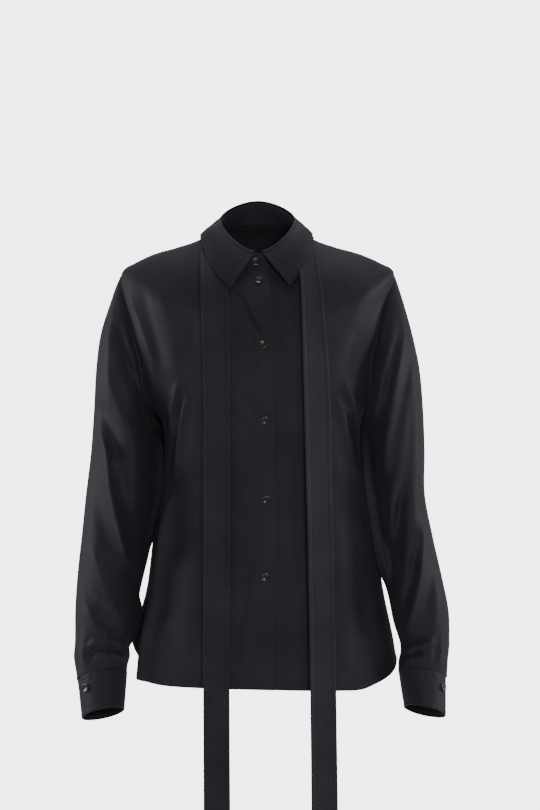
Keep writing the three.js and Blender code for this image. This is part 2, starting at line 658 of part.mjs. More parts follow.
// Collar leaf: rolls over the top of the stand and falls to its outer edge
const LEAF_ROLL_RADIUS = 4.2;
const LEAF_ROLL_SHARE = 0.11;
const LEAF_ROLL_OUT = 0.4;
const LEAF_ROLL_DOWN = 0.8;
const LEAF_BULGE = 3.4;
const LEAF_LEVELS = [0, 0.04, 0.08, LEAF_ROLL_SHARE, 0.34, 0.66, 1];
function leaf(u, v) {
  const fall = 1 - v;
  const rollAngle = lerp(LEAF_ROLL_RIGHT, LEAF_ROLL_LEFT, u) * RADIANS;
  const edgeDegrees = lerp(COLLAR_EDGE.at(-1).angle, COLLAR_EDGE[0].angle, u);
  const edge = sample(COLLAR_EDGE, 'angle', edgeDegrees);
  const out = bodyNormal(-STAND_HEIGHT, rollAngle).setZ(0).normalize();
  const centre = bodyBase(-STAND_HEIGHT, rollAngle)
    .addScaledVector(out, LEAF_ROLL_OUT).addScaledVector(UP, -LEAF_ROLL_DOWN);
  const turned = clamp(fall / LEAF_ROLL_SHARE, 0, 1) * Math.PI * 0.5;
  const rolled = centre.addScaledVector(out, LEAF_ROLL_RADIUS * Math.sin(turned))
    .addScaledVector(UP, LEAF_ROLL_RADIUS * Math.cos(turned));
  const share = clamp((fall - LEAF_ROLL_SHARE) / (1 - LEAF_ROLL_SHARE), 0, 1);
  if (share === 0) return rolled;
  const lower = bodyPoint(edge.drop, edgeDegrees * RADIANS, LEAF_OUT);
  const chord = lower.clone().sub(rolled);
  const bulge = out.clone().addScaledVector(chord, -out.dot(chord) / chord.lengthSq()).normalize();
  return rolled.lerp(lower, share).addScaledVector(bulge, LEAF_BULGE * Math.sin(Math.PI * share));
}
const leafLevels = LEAF_LEVELS.map((fall) => 1 - fall).reverse();
add('collar', wall(leaf, COLLAR_COLUMNS, leafLevels, DOUBLE_CLOTH), cloth());

// Tie: a band round the neck under the leaf, and an end hanging down each front
const TIE_OUT = TIE_GAP + DOUBLE_CLOTH;
// Length along a hanging end at which it leaves the bust, and how far it swings forward below
const BUST_ALONG = 216;
const SWING = 5;
const SWING_LENGTH = 420;
function tiePoint(edges, along, share) {
  const row = sample(edges, 'along', along);
  const x = lerp(row.outerX, row.innerX, share);
  const z = lerp(row.outerZ, row.innerZ, share);
  if (z >= BUST_Z) return restOn(x, z, TIE_OUT);
  const bust = sample(edges, 'along', BUST_ALONG);
  const point = restOn(lerp(bust.outerX, bust.innerX, share), BUST_Z, TIE_OUT);
  return point.set(x, point.y - SWING * smoothstep(BUST_Z - z, 0, SWING_LENGTH), z);
}
function hangingTie(edges, side) {
  const length = edges.at(-1).along;
  return (u, v) => tiePoint(edges, (1 - v) * length, side < 0 ? u : 1 - u);
}
const TIE_LEVELS = [
  0, 7, 15, 24, 34, 48, 64, 82, 101, 121, 142, 166, 194, 225, 300, 390, 480, 570, 660, 770, 890,
];
const tieLevels = TIE_LEVELS.map((along) => 1 - along / TIE_LEVELS.at(-1)).reverse();
function addTieEnd(name, edges, side) {
  add(name, wall(hangingTie(edges, side), TIE_COLUMNS, tieLevels, DOUBLE_CLOTH), cloth());
}
addTieEnd('tie_end_right', TIE_RIGHT_EDGES, -1);
addTieEnd('tie_end_left', TIE_LEFT_EDGES, 1);

// The band's lower and upper edge as drops, at its ends and at the back middle
const BAND = {
  from: 80, to: 280, lowerEnd: 19, lowerBack: 12, upperEnd: -13, upperBack: -16, crown: 1.2,
};
const BAND_JOIN = 0.14;
function tieBand(u, v) {
  const angle = lerp(BAND.from, BAND.to, u) * RADIANS;
  const middle = Math.sin(Math.PI * u);
  const lower = lerp(BAND.lowerEnd, BAND.lowerBack, middle);
  const upper = lerp(BAND.upperEnd, BAND.upperBack, middle);
  const crown = BAND.crown * Math.sin(Math.PI * v) * middle;
  const point = bodyPoint(lerp(lower, upper, v), angle, TIE_OUT + crown);
  const share = Math.min(u, 1 - u) / BAND_JOIN;
  if (share >= 1) return point;
  const end = tiePoint(u < 0.5 ? TIE_LEFT_EDGES : TIE_RIGHT_EDGES, 0, v);
  end.y += SEAM_GAP + 0.5;
  return end.lerp(point, smoothstep(share, 0, 1));
}
add('tie_band', wall(tieBand, BAND_COLUMNS, 3, DOUBLE_CLOTH), cloth());

// Buttons: flat discs with four holes, face out along the cloth's normal
function circlePoints(x, y, radius, count) {
  return Array.from({ length: count }, (_, i) => {
    const turn = (i / count) * 2 * Math.PI;
    return new THREE.Vector2(x + radius * Math.cos(turn), y + radius * Math.sin(turn));
  });
}
function buttonGeometry() {
  const disc = new THREE.Shape(circlePoints(0, 0, BUTTON_RADIUS, BUTTON_SIDES));
  for (let hole = 0; hole < 4; hole += 1) {
    const turn = (hole + 0.5) * Math.PI / 2;
    const x = BUTTON_HOLE_OFFSET * Math.cos(turn);
    const y = BUTTON_HOLE_OFFSET * Math.sin(turn);
    const rim = circlePoints(x, y, BUTTON_HOLE_RADIUS, BUTTON_HOLE_SIDES);
    disc.holes.push(new THREE.Path(rim.reverse()));
  }
  return new THREE.ExtrudeGeometry(disc, { depth: BUTTON_THICK, bevelEnabled: false });
}
function addButton(name, point, normal) {
  const button = add(name, buttonGeometry(), polyester());
  button.position.copy(point);
  button.quaternion.setFromUnitVectors(UP, normal);
}
function addFrontButton(name, { x, z }, out) {
  const place = frontPlace(x, z);
  addButton(name, bodyPoint(place.drop, place.angle, out), bodyNormal(place.drop, place.angle));
}
addFrontButton('button_stand', STAND_BUTTON, SEAM_GAP);
FRONT_BUTTONS.forEach((place, index) => {
  addFrontButton(`button_front_${index + 1}`, place, PLACKET_PROUD + SEAM_GAP);
});
function addCuffButton(name, rows, side, buttonTurn) {
  const turn = buttonTurn * RADIANS;
  const point = cuffPoint(rows, side, turn, CUFF_BUTTON_DOWN);
  const step = 0.02;
  const across = cuffPoint(rows, side, turn + step, CUFF_BUTTON_DOWN).sub(point);
  const down = cuffPoint(rows, side, turn, CUFF_BUTTON_DOWN + step).sub(point);
  const normal = across.cross(down).normalize();
  if (normal.x * side < 0) normal.negate();
  addButton(name, point.addScaledVector(normal, 2 * SEAM_GAP), normal);
}
addCuffButton('button_cuff_right', CUFF_RIGHT, -1, CUFF_RIGHT_BUTTON_ANGLE);
addCuffButton('button_cuff_left', CUFF_LEFT, 1, CUFF_LEFT_BUTTON_ANGLE);

export default blouse;
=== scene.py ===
"""Tie neck blouse of black crepe in its worn form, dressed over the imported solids.

Shapes are worked out in millimetres and become meshes in metres. +X is the left side of the
wearer, +Y the back and +Z up. The origin is the middle of the neck at shoulder height.
"""
import logging
import math
from dataclasses import dataclass, field
from enum import Enum
from typing import Any, Callable, ClassVar, Sequence

import bmesh
import bpy
import numpy as np
from mathutils import Matrix, Vector


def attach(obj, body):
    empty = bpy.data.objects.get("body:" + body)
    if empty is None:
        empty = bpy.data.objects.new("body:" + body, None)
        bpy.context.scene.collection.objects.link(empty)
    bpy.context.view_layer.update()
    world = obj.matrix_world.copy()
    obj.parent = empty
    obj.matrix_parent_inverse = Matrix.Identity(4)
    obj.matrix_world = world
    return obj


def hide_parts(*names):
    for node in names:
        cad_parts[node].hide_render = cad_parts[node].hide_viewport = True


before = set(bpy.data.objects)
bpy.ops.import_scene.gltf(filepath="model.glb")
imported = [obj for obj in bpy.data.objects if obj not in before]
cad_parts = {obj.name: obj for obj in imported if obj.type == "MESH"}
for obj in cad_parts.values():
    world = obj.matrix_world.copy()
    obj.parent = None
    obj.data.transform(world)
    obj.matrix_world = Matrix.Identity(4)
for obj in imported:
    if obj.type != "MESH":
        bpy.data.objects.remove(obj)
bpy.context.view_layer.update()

LOG = logging.getLogger("blouse")
MM = 0.001
# Rows of stitches lie this far, in millimetres, inside a free edge and beside a seam.
EDGE_STITCH = 6.5
SEAM_STITCH = 1.6

Surface = Callable[[np.ndarray, np.ndarray], np.ndarray]


# Small maths

def lerp(low: Any, high: Any, share: Any) -> Any:
    """Mix of low and high."""
    return low + (high - low) * share


def smoothstep(value: Any, low: float, high: float) -> Any:
    """0 at low, 1 at high and soft between them."""
    t = np.clip((value - low) / (high - low), 0, 1)
    return t * t * (3 - 2 * t)


def unit(vectors: np.ndarray) -> np.ndarray:
    """Vectors at length 1."""
    return vectors / np.maximum(np.linalg.norm(vectors, axis=-1, keepdims=True), 1e-12)


def hump(distance: Any, width: float) -> Any:
    """Soft bump of height 1 round a line."""
    return np.exp(-((distance / width) ** 2))


def xyz(x: Any, y: Any, z: Any) -> np.ndarray:
    """Points from their three coordinates."""
    return np.stack(np.broadcast_arrays(x, y, z), -1).astype(float)


class Table:
    """Named columns with a smooth curve through each, read at a value of the first column."""

    def __init__(self, columns: str, *rows: Sequence[float]) -> None:
        """Args:
            columns: names, parted by spaces; the first is the key.
            rows: one sequence of numbers a row, with the key rising or falling.
        """
        self.columns = columns.split()
        self.rows = np.array(rows, float)
        self.sense = 1.0 if self.rows[-1, 0] > self.rows[0, 0] else -1.0
        self.keys = self.rows[:, 0] * self.sense
        last = len(rows) - 1
        after = np.minimum(np.arange(last + 1) + 1, last)
        before = np.maximum(np.arange(last + 1) - 1, 0)
        rise = self.rows[after] - self.rows[before]
        self.slopes = rise / (self.keys[after] - self.keys[before])[:, None]

    def at(self, key: Any) -> dict[str, np.ndarray]:
        """Args:
            key: values of the first column.

        Returns:
            Each column's value there.
        """
        value = np.asarray(key, float) * self.sense
        i = np.clip(np.searchsorted(self.keys, value, side="left") - 1, 0, len(self.keys) - 2)
        span = self.keys[i + 1] - self.keys[i]
        t = np.clip((value - self.keys[i]) / span, 0, 1)
        start, end = (1 + 2 * t) * (1 - t) ** 2, t * t * (3 - 2 * t)
        leave, reach = t * (1 - t) ** 2 * span, t * t * (t - 1) * span
        found = {}
        for c, name in enumerate(self.columns):
            found[name] = (self.rows[i, c] * start + self.rows[i + 1, c] * end
                           + self.slopes[i, c] * leave + self.slopes[i + 1, c] * reach)
        return found


def object_of(bm: bmesh.types.BMesh, name: str) -> bpy.types.Object:
    """Makes a linked object of a bmesh, and frees the bmesh.

    Args:
        bm: the bmesh.
        name: name of the object and its mesh.

    Returns:
        The object.
    """
    mesh = bpy.data.meshes.new(name)
    bm.to_mesh(mesh)
    bm.free()
    obj = bpy.data.objects.new(name, mesh)
    bpy.context.collection.objects.link(obj)
    return obj


# Finishes

def linear(colour: str) -> tuple[float, float, float, float]:
    """Linear colour of an sRGB hex value such as #222124.

    Args:
        colour: the hex value.

    Returns:
        Red, green, blue and alpha.
    """
    parts = [int(colour[i:i + 2], 16) / 255 for i in (1, 3, 5)]
    mixed = [c / 12.92 if c <= 0.04045 else ((c + 0.055) / 1.055) ** 2.4 for c in parts]
    return mixed[0], mixed[1], mixed[2], 1.0


def add_node(tree: bpy.types.NodeTree, kind: str, settings: dict[str, Any] | None = None,
             inputs: dict[str, Any] | None = None) -> bpy.types.Node:
    """Adds a node, sets it and links it.

    Args:
        tree: the node tree.
        kind: the node's type name.
        settings: the node's own properties by name.
        inputs: by socket name or number, a value or the output socket to link.

    Returns:
        The node.
    """
    node = tree.nodes.new(kind)
    for name, value in (settings or {}).items():
        setattr(node, name, value)
    for name, value in (inputs or {}).items():
        socket = node.inputs[name]
        if isinstance(value, bpy.types.NodeSocket):
            tree.links.new(value, socket)
        else:
            socket.default_value = value
    return node


def new_material(name: str) -> tuple[bpy.types.Material, bpy.types.NodeTree]:
    """Empty node material and its tree.

    Args:
        name: the material's name.

    Returns:
        The material and its node tree.
    """
    material = bpy.data.materials.new(name)
    material.use_nodes = True
    material.node_tree.nodes.clear()
    return material, material.node_tree


@dataclass(frozen=True)
class WovenCrepe:
    """Polyester crepe, piece-dyed: hard-twisted yarn gives a fine pebbled face.

    The eye sees a deep, slightly cool black that hardly shines, with a soft light along folds.
    """
    name: str = "woven_crepe"
    dark: str = "#28252b"
    light: str = "#35323a"
    roughness: float = 0.6
    specular: float = 0.19
    sheen: float = 0.22
    sheen_roughness: float = 0.4
    sheen_tint: str = "#aaa4b4"
    # The real pebble is 0.4 mm; drawn at 1.3 mm because one pixel is 1.45 mm.
    pebble_mm: float = 1.3
    # Yarns run every 0.25 mm; drawn as streaks 2.4 mm apart along the cloth.
    yarn_mm: float = 2.4
    cloud_mm: float = 60.0
    bump_mm: float = 0.12
    bump_strength: float = 0.35
    # How much the pebbles change the roughness, down and up.
    rough_spread: tuple[float, float] = (-0.05, 0.06)

    def build(self) -> bpy.types.Material:
        """Returns:
            The material, on the cloth's own UV map in metres and on Object coordinates.
        """
        material, tree = new_material(self.name)
        place = add_node(tree, "ShaderNodeTexCoord")
        across = add_node(tree, "ShaderNodeMapping", inputs={
            "Vector": place.outputs["UV"], "Scale": (1 / (self.yarn_mm * MM), 60.0, 1.0)})
        yarn = add_node(tree, "ShaderNodeTexNoise", inputs={
            "Vector": across.outputs[0], "Scale": 1.0, "Detail": 2.0, "Roughness": 0.6})
        pebble = add_node(tree, "ShaderNodeTexNoise", inputs={
            "Vector": place.outputs["Object"], "Scale": 1 / (self.pebble_mm * MM),
            "Detail": 2.0, "Roughness": 0.55})
        cloud = add_node(tree, "ShaderNodeTexNoise", inputs={
            "Vector": place.outputs["Object"], "Scale": 1 / (self.cloud_mm * MM),
            "Detail": 3.0, "Roughness": 0.5})
        grain = add_node(tree, "ShaderNodeMath", {"operation": "MULTIPLY_ADD"}, {
            0: yarn.outputs["Fac"], 1: 0.45, 2: pebble.outputs["Fac"]})
        tone = add_node(tree, "ShaderNodeMath", {"operation": "MULTIPLY_ADD"}, {
            0: grain.outputs[0], 1: 0.5, 2: cloud.outputs["Fac"]})
        level = add_node(tree, "ShaderNodeMapRange", inputs={
            "Value": tone.outputs[0], "From Min": 0.55, "From Max": 1.15})
        colour = add_node(tree, "ShaderNodeMix", {"data_type": "RGBA"}, {
            "Factor": level.outputs[0], 6: linear(self.dark), 7: linear(self.light)})
        rough = add_node(tree, "ShaderNodeMapRange", inputs={
            "Value": pebble.outputs["Fac"], "From Min": 0.3, "From Max": 0.7,
            "To Min": self.roughness + self.rough_spread[0],
            "To Max": self.roughness + self.rough_spread[1]})
        bump = add_node(tree, "ShaderNodeBump", inputs={
            "Strength": self.bump_strength, "Distance": self.bump_mm * MM,
            "Height": grain.outputs[0]})
        shader = add_node(tree, "ShaderNodeBsdfPrincipled", inputs={
            "Base Color": colour.outputs[2], "Roughness": rough.outputs[0],
            "Specular IOR Level": self.specular, "Sheen Weight": self.sheen,
            "Sheen Roughness": self.sheen_roughness, "Sheen Tint": linear(self.sheen_tint),
            "Normal": bump.outputs[0]})
        add_node(tree, "ShaderNodeOutputMaterial", inputs={"Surface": shader.outputs[0]})
        return material


@dataclass(frozen=True)
class SpunThread:
    """Spun polyester sewing thread, black: hairy twist that takes a little more light."""
    name: str = "spun_thread"
    dark: str = "#19181a"
    light: str = "#2c2b2f"
    # The real twist is 0.35 mm long; drawn at 0.8 mm so that it shows.
    twist_mm: float = 0.8
    bump_mm: float = 0.05
    roughness: float = 0.5
    specular: float = 0.4
    sheen: float = 0.2

    def build(self) -> bpy.types.Material:
        """Returns:
            The material, on Object coordinates.
        """
        material, tree = new_material(self.name)
        place = add_node(tree, "ShaderNodeTexCoord")
        twist = add_node(tree, "ShaderNodeTexNoise", inputs={
            "Vector": place.outputs["Object"], "Scale": 1 / (self.twist_mm * MM),
            "Detail": 1.0, "Roughness": 0.5})
        colour = add_node(tree, "ShaderNodeMix", {"data_type": "RGBA"}, {
            "Factor": twist.outputs["Fac"], 6: linear(self.dark), 7: linear(self.light)})
        bump = add_node(tree, "ShaderNodeBump", inputs={
            "Strength": 0.3, "Distance": self.bump_mm * MM, "Height": twist.outputs["Fac"]})
        shader = add_node(tree, "ShaderNodeBsdfPrincipled", inputs={
            "Base Color": colour.outputs[2], "Roughness": self.roughness,
            "Specular IOR Level": self.specular, "Sheen Weight": self.sheen,
            "Normal": bump.outputs[0]})
        add_node(tree, "ShaderNodeOutputMaterial", inputs={"Surface": shader.outputs[0]})
        return material


@dataclass(frozen=True)
class CastPolyester:
    """Button polyester, cast, turned and tumbled to a gloss: smoky black with brown clouds."""
    name: str = "cast_polyester"
    dark: str = "#1a1514"
    light: str = "#51443c"
    roughness: float = 0.16
    ior: float = 1.54
    coat: float = 0.6
    coat_roughness: float = 0.06
    swirl_mm: float = 4.0
    # Fine scratches from the tumbling.
    wear_mm: float = 1.1

    def build(self) -> bpy.types.Material:
        """Returns:
            The material, on Object coordinates.
        """
        material, tree = new_material(self.name)
        place = add_node(tree, "ShaderNodeTexCoord")
        swirl = add_node(tree, "ShaderNodeTexNoise", inputs={
            "Vector": place.outputs["Object"], "Scale": 1 / (self.swirl_mm * MM),
            "Detail": 3.0, "Roughness": 0.55, "Distortion": 1.2})
        level = add_node(tree, "ShaderNodeMapRange", inputs={
            "Value": swirl.outputs["Fac"], "From Min": 0.42, "From Max": 0.72})
        colour = add_node(tree, "ShaderNodeMix", {"data_type": "RGBA"}, {
            "Factor": level.outputs[0], 6: linear(self.dark), 7: linear(self.light)})
        wear = add_node(tree, "ShaderNodeTexNoise", inputs={
            "Vector": place.outputs["Object"], "Scale": 1 / (self.wear_mm * MM),
            "Detail": 2.0})
        rough = add_node(tree, "ShaderNodeMapRange", inputs={
            "Value": wear.outputs["Fac"], "From Min": 0.35, "From Max": 0.7,
            "To Min": self.roughness - 0.04, "To Max": self.roughness + 0.08})
        shader = add_node(tree, "ShaderNodeBsdfPrincipled", inputs={
            "Base Color": colour.outputs[2], "Roughness": rough.outputs[0], "IOR": self.ior,
            "Coat Weight": self.coat, "Coat Roughness": self.coat_roughness})
        add_node(tree, "ShaderNodeOutputMaterial", inputs={"Surface": shader.outputs[0]})
        return material


@dataclass(frozen=True)
class PaintedFloor:
    """Matt white paint on a smooth floor: pale, with a faint roller stipple."""
    name: str = "painted_floor"
    dark: str = "#ececec"
    light: str = "#f4f3f4"
    stipple_mm: float = 6.0

    def build(self) -> bpy.types.Material:
        """Returns:
            The material, on Object coordinates.
        """
        material, tree = new_material(self.name)
        place = add_node(tree, "ShaderNodeTexCoord")
        stipple = add_node(tree, "ShaderNodeTexNoise", inputs={
            "Vector": place.outputs["Object"], "Scale": 1 / (self.stipple_mm * MM)})
        colour = add_node(tree, "ShaderNodeMix", {"data_type": "RGBA"}, {
            "Factor": stipple.outputs["Fac"], 6: linear(self.dark), 7: linear(self.light)})
        shader = add_node(tree, "ShaderNodeBsdfPrincipled", inputs={
            "Base Color": colour.outputs[2], "Roughness": 0.9, "Specular IOR Level": 0.2})
        add_node(tree, "ShaderNodeOutputMaterial", inputs={"Surface": shader.outputs[0]})
        return material


# Form of the garment

class Face(Enum):
    """Side of the garment that a fold lies on."""
    FRONT = "front"
    BACK = "back"


@dataclass(frozen=True)
class Fold:
    """A soft fold along a path of (x, z) points, in millimetres.

    depth is + for a ridge and - for a trough. fade is the share of the path over which an end dies
    out. A fold past_edge runs off the lower edge at full depth. sharp is 0 for a round top and 1
    for a crest.
    """
    face: Face
    depth: float
    width: float
    path: tuple[tuple[float, float], ...]
    fade: float = 0.22
    past_edge: bool = False
    sharp: float = 0.0
    crest_round: ClassVar[float] = 0.2
    overrun: ClassVar[float] = 0.03

    def relief(self, x: np.ndarray, z: np.ndarray) -> np.ndarray:
        """Height of the fold at points seen from the front.

        Args:
            x: across, in millimetres.
            z: up, in millimetres.

        Returns:
            The height, in millimetres.
        """
        lengths = [math.dist(a, b) for a, b in zip(self.path, self.path[1:])]
        total, run = sum(lengths), 0.0
        nearest, along = np.full(x.shape, np.inf), np.zeros(x.shape)
        for (x1, z1), (x2, z2), length in zip(self.path, self.path[1:], lengths):
            share = ((x - x1) * (x2 - x1) + (z - z1) * (z2 - z1)) / length ** 2
            at = np.clip(share, 0, 1)
            away = np.hypot(x - x1 - at * (x2 - x1), z - z1 - at * (z2 - z1))
            along = np.where(away < nearest, (run + share * length) / total, along)
            nearest = np.minimum(away, nearest)
            run += length
        ends = smoothstep(along, -self.overrun, self.fade)
        if not self.past_edge:
            ends = ends * (1 - smoothstep(along, 1 - self.fade, 1 + self.overrun))
        off = nearest / self.width
        crest = np.exp(self.crest_round - np.sqrt(off ** 2 + self.crest_round ** 2))
        return self.depth * lerp(hump(nearest, self.width), crest, self.sharp) * ends


class Folds:
    """The folds of one piece of the garment."""

    def __init__(self, folds: Sequence[Fold]) -> None:
        """Keeps the folds of each side apart."""
        self.by_face = {face: [f for f in folds if f.face is face] for face in Face}

    def relief(self, points: np.ndarray, in_front: np.ndarray) -> np.ndarray:
        """Args:
            points: points in millimetres.
            in_front: where the front's folds hold.

        Returns:
            Height of all folds at each point.
        """
        x, z = points[..., 0], points[..., 2]
        front = sum((f.relief(x, z) for f in self.by_face[Face.FRONT]), np.zeros(x.shape))
        back = sum((f.relief(x, z) for f in self.by_face[Face.BACK]), np.zeros(x.shape))
        return np.where(in_front, front, back)


@dataclass
class BodyForm:
    """Form of the body and the stand, read by drop down the cloth and angle round it.

    The angle is 0 at the front middle and grows towards +X.
    """
    folds: Folds
    shoulder_drop: float = 128.0
    underarm_drop: float = 264.0
    scoop_front: float = 29.0
    scoop_back: float = 25.0
    underarm_level: float = 0.58
    seam_gap: float = 0.3
    # Folds die out where the form turns sideways: gone at the first share of Y, whole at the other.
    fold_facing: tuple[float, float] = (0.3, 0.75)
    rings: Table = field(default_factory=lambda: Table(
        "drop sideZ frontZ backZ left middle right fore aft square",
        (-26, 22, -25, 54, -51, 2, 55, 60, 47, 2.4),
        (-13, 15, -37, 38, -58, 2, 61, 63, 51, 2.2),
        (0, 8, -49, 21, -66, 2, 68, 67, 56, 2.1),
        (20, -3, -62, 9, -83, 3, 85, 76, 66, 2.05),
        (48, -14, -77, -8, -115, 5, 116, 87, 73, 2.05),
        (76, -22.5, -95, -30, -145, 6.5, 147, 97, 80, 2.05),
        (104, -36, -115, -54, -175, 8, 179, 105, 86, 2),
        (128, -51, -134, -80, -195, 9, 200, 110, 91, 1.95),
        (150, -88, -153, -108, -199, 10, 194, 114, 95, 1.95),
        (180, -142, -180, -152, -199, 11, 192, 119, 97, 2),
        (222, -210, -223, -214, -182, 12, 180, 124, 95, 2),
        (245, -240, -246, -242, -160, 12.5, 165, 123, 92, 2.15),
        (264, -264, -264, -264, -138, 13, 151, 121, 89, 2.6),
        (322, -322, -322, -322, -133, 13.5, 156, 115, 84, 2.45),
        (384, -384, -384, -384, -139, 14.5, 165, 113, 84, 2.35),
        (435, -435, -435, -435, -149, 14.5, 173, 114, 88, 2.3),
        (510, -510, -510, -510, -159, 13.5, 184, 116, 98, 2.3),
        (583, -583, -583, -583, -180, 13, 199, 118, 108, 2.3),
        (680, -680, -680, -680, -192, 12, 214, 118, 113, 2.3)))
    hems: tuple[Table, ...] = field(default_factory=lambda: (
        Table("off z", (0, -644), (30, -642), (45, -640), (53, -635.5), (56.5, -631), (58, -627),
              (60, -610), (62, -602), (70, -590), (80, -580), (90, -577)),
        Table("off z", (0, -644), (32, -646.5), (42, -646), (50, -639.5), (68, -625),
              (80, -614), (90, -609)),
        Table("off z", (0, -655), (30, -653), (50, -640), (70, -604), (90, -577)),
        Table("off z", (0, -655), (30, -654), (55, -643), (75, -623), (90, -609))))

    def base(self, drop: np.ndarray, angle: np.ndarray) -> np.ndarray:
        """Point of the form without folds.

        Args:
            drop: distance down the cloth from the neck, in millimetres.
            angle: angle round the body, 0 at the front middle.

        Returns:
            Points in millimetres.
        """
        ring = self.rings.at(drop)
        sine, cosine, square = np.sin(angle), np.cos(angle), ring["square"]
        reach = (np.abs(sine) ** square + np.abs(cosine) ** square) ** (-1 / square)
        half = np.where(sine >= 0, ring["right"] - ring["middle"], ring["middle"] - ring["left"])
        depth = np.where(cosine >= 0, ring["fore"], ring["aft"])
        share = np.where(cosine >= 0, cosine ** 2, np.abs(cosine) ** 1.4)
        end = np.where(cosine >= 0, ring["frontZ"], ring["backZ"])
        return xyz(ring["middle"] + half * reach * sine, -depth * reach * cosine,
                   lerp(ring["sideZ"], end, share))

    def normal(self, drop: np.ndarray, angle: np.ndarray) -> np.ndarray:
        """Outward direction of the form.

        Args:
            drop: distance down the cloth from the neck, in millimetres.
            angle: angle round the body, 0 at the front middle.

        Returns:
            Normals at length 1.
        """
        across = self.base(drop, angle + 0.004) - self.base(drop, angle - 0.004)
        upward = self.base(drop - 0.5, angle) - self.base(drop + 0.5, angle)
        return unit(np.cross(across, upward))

    def point(self, drop: np.ndarray, angle: np.ndarray, out: Any = 0.0) -> np.ndarray:
        """Point of the cloth with its folds, out millimetres off it.

        Args:
            drop: distance down the cloth from the neck, in millimetres.
            angle: angle round the body, 0 at the front middle.
            out: distance off the cloth, in millimetres.

        Returns:
            Points in millimetres.
        """
        point, normal = self.base(drop, angle), self.normal(drop, angle)
        facing = smoothstep(np.abs(normal[..., 1]), *self.fold_facing)
        fold = self.folds.relief(point, normal[..., 1] < 0) * facing
        return point + normal * (fold + out)[..., None]

    def front_place(self, x: np.ndarray, z: np.ndarray) -> tuple[np.ndarray, np.ndarray]:
        """Where the front is met at x and z.

        Args:
            x: across, in millimetres.
            z: up, in millimetres.

        Returns:
            The drop and the angle.
        """
        low = np.full(np.shape(x), self.rings.keys[0])
        high = np.full(np.shape(x), self.rings.keys[-1])
        angle = np.zeros(np.shape(x))
        for _ in range(36):
            drop = (low + high) / 2
            ring = self.rings.at(drop)
            half = np.where(x >= ring["middle"], ring["right"] - ring["middle"],
                            ring["middle"] - ring["left"])
            reach = np.abs(x - ring["middle"]) / half
            held = reach < 1
            ahead = np.maximum(1 - np.minimum(reach, 1) ** ring["square"], 0)
            ahead = ahead ** (1 / ring["square"])
            turned = np.arctan2(reach, ahead) * np.sign(x - ring["middle"])
            angle = np.where(held, turned, angle)
            height = lerp(ring["sideZ"], ring["frontZ"], np.cos(turned) ** 2)
            height = np.where(held, height, np.inf)
            low, high = np.where(height > z, drop, low), np.where(height > z, high, drop)
        return high, angle

    def rest_on(self, x: np.ndarray, z: np.ndarray, out: Any) -> np.ndarray:
        """Point that lies out millimetres off the front at x and z."""
        drop, angle = self.front_place(x, z)
        return self.point(drop, angle, out)

    def hem_drop(self, angle: np.ndarray) -> np.ndarray:
        """Drop of the lower edge, which the four hem tables give by degrees off the middle.

        Args:
            angle: angle round the body, 0 at the front middle.

        Returns:
            The drop, in millimetres.
        """
        turn = np.arctan2(np.sin(angle), np.cos(angle))
        off = np.degrees(np.abs(turn))
        front, left = off <= 90, turn < 0
        off = np.where(front, off, 180 - off)
        heights = [hem.at(off)["z"] for hem in self.hems]
        return -np.where(front, np.where(left, heights[0], heights[1]),
                         np.where(left, heights[2], heights[3]))

    def half_width(self, drop: np.ndarray, side: Any) -> np.ndarray:
        """Half the width of a ring on one side.

        Args:
            drop: distance down the cloth from the neck, in millimetres.
            side: above 0 for the +X side.

        Returns:
            The half width, in millimetres.
        """
        ring = self.rings.at(drop)
        return np.where(np.asarray(side) > 0, ring["right"] - ring["middle"],
                        ring["middle"] - ring["left"])

    def edge_angle(self, drop: np.ndarray, front: Any) -> np.ndarray:
        """Angle of a panel's outer edge: shoulder seam, armhole, then side seam.

        Args:
            drop: distance down the cloth from the neck, in millimetres.
            front: whether the panel is a front.

        Returns:
            The angle off the middle of the panel.
        """
        ring = self.rings.at(drop)
        seam = np.pi / 2 - 0.55 * self.seam_gap / np.where(front, ring["fore"], ring["aft"])
        tall = self.underarm_drop - self.shoulder_drop
        share = np.clip((drop - self.shoulder_drop) / tall, 0, 1)
        scoop = np.where(front, self.scoop_front, self.scoop_back)
        cut = np.radians(90 - scoop * np.abs(np.sin(np.pi * share)) ** 0.6)
        return np.where((share > 0) & (share < 1), np.minimum(seam, cut), seam)

    def armhole_drop(self, turn: np.ndarray) -> np.ndarray:
        """Drop of the armhole at a turn, 0 at the shoulder and pi at the underarm."""
        return lerp(self.shoulder_drop, self.underarm_drop, (1 - np.cos(turn)) / 2)

    def panel_drop(self, v: np.ndarray, angle: np.ndarray, top: float = 0.4) -> np.ndarray:
        """Drop of a panel's level, v: 0 at the hem, underarm_level at the underarm, 1 at the top.

        Args:
            v: the level.
            angle: angle round the body, 0 at the front middle.
            top: drop of the upper edge.

        Returns:
            The drop, in millimetres.
        """
        level = self.underarm_level
        low = lerp(self.hem_drop(angle), self.underarm_drop, np.clip(v / level, 0, 1))
        high = lerp(self.underarm_drop, top, np.clip((v - level) / (1 - level), 0, 1))
        return np.where(v < level, low, high)


# Cloth meshes

def spread(length: float, pitch: float, fine: Sequence[float] = ()) -> np.ndarray:
    """Shares from 0 to 1 along a length, with a finer step round some places.

    Args:
        length: length in millimetres.
        pitch: usual step in millimetres.
        fine: places in millimetres that get steps of 0.5 mm for 1.5 mm each way.

    Returns:
        The shares, rising.
    """
    even = np.linspace(0, length, max(round(length / pitch), 2) + 1)
    extra = {0.0, float(length)}
    for place in fine:
        extra.update(round(place + off, 3) for off in (-1.6, -1.0, -0.5, 0.0, 0.5, 1.0, 1.6))
    marks = np.array(sorted(mark for mark in extra if 0 <= mark <= length))
    apart = np.abs(even[:, None] - marks[None, :]).min(axis=1)
    return np.sort(np.concatenate([even[apart > 0.5 * min(pitch, 1.2)], marks])) / length


